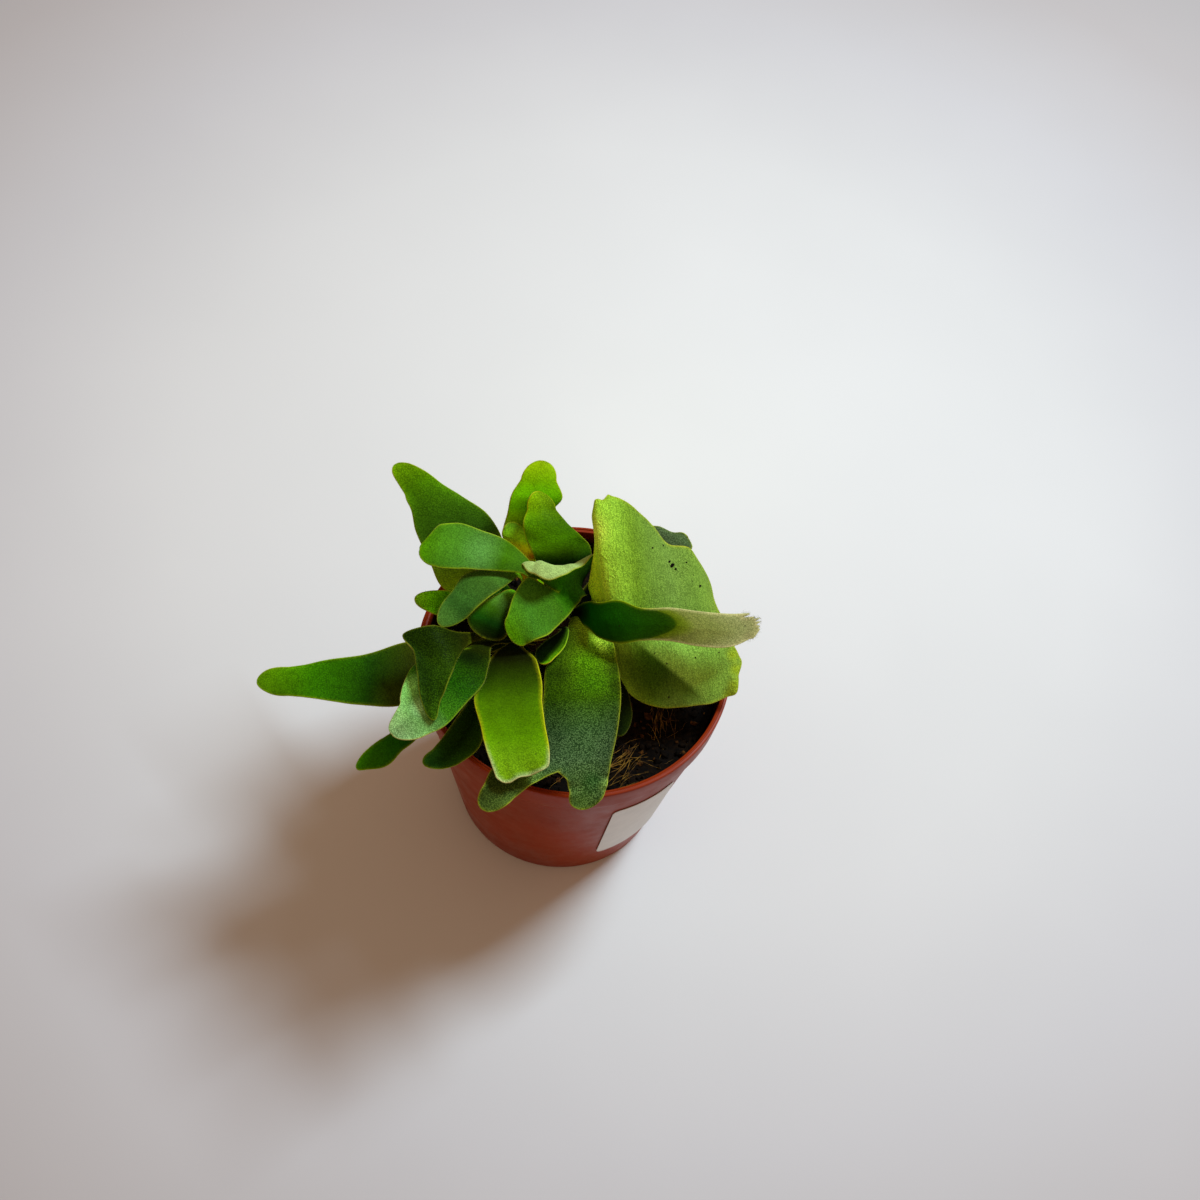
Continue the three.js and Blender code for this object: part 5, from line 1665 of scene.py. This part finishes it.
class FERN_OT_crown(bpy.types.Operator):
    """Build the rhizome with its overlapping dead scales"""

    bl_idname = "fern.crown"
    bl_label = "Crown"

    def execute(self, context):
        dice = random.Random(SEEDS["scales"])
        outline = [(CROWN["radius"] * MM, CROWN["bottom"] * MM), (CROWN["radius"] * MM, 66 * MM)]
        for i in range(14):
            height = 66.5 + (CROWN["top"] - 0.4 - 66.5) * math.sin((i + 1) / 14 * math.pi / 2)
            outline.append(((crown_radius(height) - 0.35) * MM, height * MM))
        core = turned("rhizome", outline, 48)
        pick(core)
        bpy.ops.object.shade_smooth()
        points, faces = [], []
        for row in range(SCALES["rows"]):
            foot = SCALES["first"] + (CROWN["top"] - 1.5 - SCALES["first"]) * row / SCALES["rows"]
            for column in range(SCALES["round"]):
                turn = (column + 0.5 * (row % 2) + dice.uniform(-0.2, 0.2)) / SCALES["round"] * 2 * math.pi
                out = Vector((math.cos(turn), math.sin(turn), 0))
                side = Vector((-out.y, out.x, 0))
                width = SCALES["width"] * dice.uniform(0.8, 1.1) / 2
                length = SCALES["length"] * dice.uniform(0.7, 1.1)
                first = len(points)
                for share, wide in ((0, 0.8), (0.35, 1.0), (0.7, 0.6), (1, 0.08)):
                    height = min(foot + length * share, CROWN["top"] - 0.6)
                    radius = max(0.4, crown_radius(height) - 0.4 + 0.3 * share)
                    for across, lift in ((-1, -0.1), (0, 0.15), (1, -0.1)):
                        place = out * (radius + lift) + side * across * width * wide
                        points.append((place + Vector((CROWN["x"], CROWN["y"], height))) * MM)
                for i in range(3):
                    for j in range(2):
                        a = first + 3 * i + j
                        faces.append((a, a + 1, a + 4, a + 3))
        scales = new_piece("scales", points, faces)
        apply_modifier(scales, "Thickness", "SOLIDIFY", thickness=0.15 * MM, offset=0)
        for vertex in core.data.vertices:
            vertex.co.x += CROWN["x"] * MM
            vertex.co.y += CROWN["y"] * MM
        crown = joined([core, scales])
        crown.data.materials.clear()
        crown.data.materials.append(dead_scale(context.scene.fern_colours))
        stand_for(crown, "crown")
        return {"FINISHED"}


class FERN_OT_coir(bpy.types.Operator):
    """Lay the tangles of coir on the mix"""

    bl_idname = "fern.coir"
    bl_label = "Coir"

    def execute(self, context):
        finish = coir_fibre(context.scene.fern_colours)
        level = context.scene.fern_sizes.mix_level / MM
        for number, (name, tangle) in enumerate(COIR_TANGLES.items()):
            dice = random.Random(SEEDS["coir"] + number)
            points, faces = [], []
            heading, length = math.radians(tangle["heading"]), tangle["length"]
            for i in range(tangle["strands"] + tangle["loose"]):
                main = i < tangle["strands"]
                turn = heading + math.radians(dice.gauss(0, 16 if main else 28))
                reach = length * (dice.uniform(0.4, 0.62) if main else dice.uniform(0.15, 0.5))
                spread = 1.5 if main else length * 0.36
                x, y = (tangle["middle"][k] + dice.gauss(0, spread) for k in range(2))
                bow, hump = dice.uniform(-0.22, 0.22) * reach, dice.uniform(0.2, 1.5)
                route = []
                for k in range(7):
                    part = k / 3 - 1
                    across = bow * (part * part) + 0.25 * dice.uniform(-1, 1)
                    px = x + reach * part * math.cos(turn) - across * math.sin(turn)
                    py = y + reach * part * math.sin(turn) + across * math.cos(turn)
                    # No strand reaches the pot's wall
                    inside = min(1, COIR_LIMIT / math.hypot(px, py))
                    px, py = px * inside, py * inside
                    ground = level + max(-0.2, mix_height(px, py)) + 0.25
                    route.append(Vector((px, py, ground + hump * (1 - part * part))))
                thick = dice.uniform(0.08, 0.13) if main else dice.uniform(0.04, 0.08)
                self.strand(route, thick, points, faces)
            title = name.replace("coir_tangle", "coir_fibres")
            fibres = new_piece(title, [point * MM for point in points], faces)
            face_outward(fibres)
            bpy.ops.object.shade_smooth_by_angle(angle=math.radians(60))
            fibres.data.materials.append(finish)
            stand_for(fibres, name)
        return {"FINISHED"}

    def strand(self, route, radius, points, faces):
        """Adds a tapering four-sided strand along a route."""
        sides, count = 4, 2 * len(route) - 1
        first = len(points)
        for k in range(count):
            at = k / 2
            here = along_curve(route, at)
            before = along_curve(route, max(at - 0.25, 0))
            ahead = (along_curve(route, min(at + 0.25, len(route) - 1)) - before).normalized()
            side = ahead.cross(Vector((0, 0, 1))).normalized()
            up = side.cross(ahead)
            thick = radius * (1 - 0.6 * abs(2 * k / (count - 1) - 1) ** 2)
            for turn in (0, 0.5, 1, 1.5):
                swing = side * math.cos(turn * math.pi) + up * math.sin(turn * math.pi)
                points.append(here + swing * thick)
        for k in range(count - 1):
            for j in range(sides):
                a, b = first + sides * k + j, first + sides * k + (j + 1) % sides
                faces.append((a, b, b + sides, a + sides))
        faces.append(tuple(first + j for j in reversed(range(sides))))
        faces.append(tuple(first + sides * (count - 1) + j for j in range(sides)))


def settle_crumbs(shield, finish, dice):
    """Lays the stray crumbs of mix on the shield frond and joins them to it."""
    shield.data.materials.append(finish)
    for x, y, size in DEBRIS:
        landed, spot, facing, _ = shield.ray_cast((x * MM, y * MM, 0.2), (0, 0, -1))
        if not landed:
            raise ValueError(f"crumb at {x}, {y} misses the shield frond")
        bpy.ops.object.select_all(action="DESELECT")
        bpy.ops.mesh.primitive_ico_sphere_add(subdivisions=2, radius=size / 2 * MM)
        crumb = bpy.context.object
        for vertex in crumb.data.vertices:
            lump = 1 + 0.5 * noise.noise(vertex.co / MM * 1.4 + Vector((x, y, 0)))
            vertex.co = Vector((vertex.co.x, vertex.co.y * 0.75, vertex.co.z * 0.6)) * lump
        turn = Matrix.Rotation(dice.uniform(0, math.pi), 4, "Z")
        crumb.data.transform(Matrix.Translation(spot + facing * size * 0.12 * MM) @ turn)
        crumb.data.materials.append(finish)
        shield = joined([shield, crumb])
    return shield


class FERN_OT_fronds(bpy.types.Operator):
    """Grow the fronds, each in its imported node's form"""

    bl_idname = "fern.fronds"
    bl_label = "Fronds"

    def execute(self, context):
        sizes, colours = context.scene.fern_sizes, context.scene.fern_colours
        skin = leaf_skin("waxy staghorn leaf", colours, False)
        others = [felted_underside(colours), worn_margin(colours), margin_hair()]
        leather = leaf_skin("leathery shield leaf", colours, True)
        for number, (name, frond) in enumerate(FRONDS.items()):
            upper = leather if name == "shield_frond" else skin
            dice = random.Random(SEEDS["fronds"] + number)
            piece = build_frond(name, frond, sizes, [upper, *others], dice)
            if name == "shield_frond":
                piece = settle_crumbs(piece, damp_peat(colours), dice)
            stand_for(piece, name)
        return {"FINISHED"}


class FERN_OT_stage(bpy.types.Operator):
    """Set the table top, the lights and the camera"""

    bl_idname = "fern.stage"
    bl_label = "Stage"

    def execute(self, context):
        scene = context.scene
        bpy.ops.object.select_all(action="DESELECT")
        bpy.ops.mesh.primitive_plane_add(size=TABLE_SIZE, location=(0, 0, 0))
        table = bpy.context.object
        table.name = "table_top"
        table.data.materials.append(matt_table(scene.fern_colours))
        area_light("window", *WINDOW.values())
        world = bpy.data.worlds.new("studio")
        world.use_nodes = True
        background = world.node_tree.nodes["Background"]
        background.inputs["Color"].default_value = SURROUND["colour"]
        background.inputs["Strength"].default_value = SURROUND["strength"]
        scene.world = world
        scene.view_settings.view_transform = "Standard"
        place_camera(scene)
        return {"FINISHED"}


class FERN_PT_panel(bpy.types.Panel):
    """Builds each group of pieces from the sidebar"""

    bl_idname = "FERN_PT_panel"
    bl_label = "Staghorn fern"
    bl_space_type = "VIEW_3D"
    bl_region_type = "UI"
    bl_category = "Fern"

    def draw(self, context):
        for operator in OPERATORS:
            self.layout.operator(operator.bl_idname)
        for group in (context.scene.fern_sizes, context.scene.fern_colours):
            for key in group.bl_rna.properties.keys():
                if key not in {"rna_type", "name"}:
                    self.layout.prop(group, key)


OPERATORS = (
    FERN_OT_pot, FERN_OT_label, FERN_OT_mix, FERN_OT_crown, FERN_OT_coir, FERN_OT_fronds, FERN_OT_stage,
)
CLASSES = (FernSizes, FernColours, *OPERATORS, FERN_PT_panel)


def register():
    for each in CLASSES:
        bpy.utils.register_class(each)
    bpy.types.Scene.fern_sizes = bpy.props.PointerProperty(type=FernSizes)
    bpy.types.Scene.fern_colours = bpy.props.PointerProperty(type=FernColours)


def unregister():
    del bpy.types.Scene.fern_sizes
    del bpy.types.Scene.fern_colours
    for each in reversed(CLASSES):
        bpy.utils.unregister_class(each)


def main():
    register()
    bpy.ops.fern.pot()
    bpy.ops.fern.label()
    bpy.ops.fern.mix()
    bpy.ops.fern.crown()
    bpy.ops.fern.coir()
    bpy.ops.fern.fronds()
    bpy.ops.fern.stage()
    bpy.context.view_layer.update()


if __name__ == "__main__":
    main()
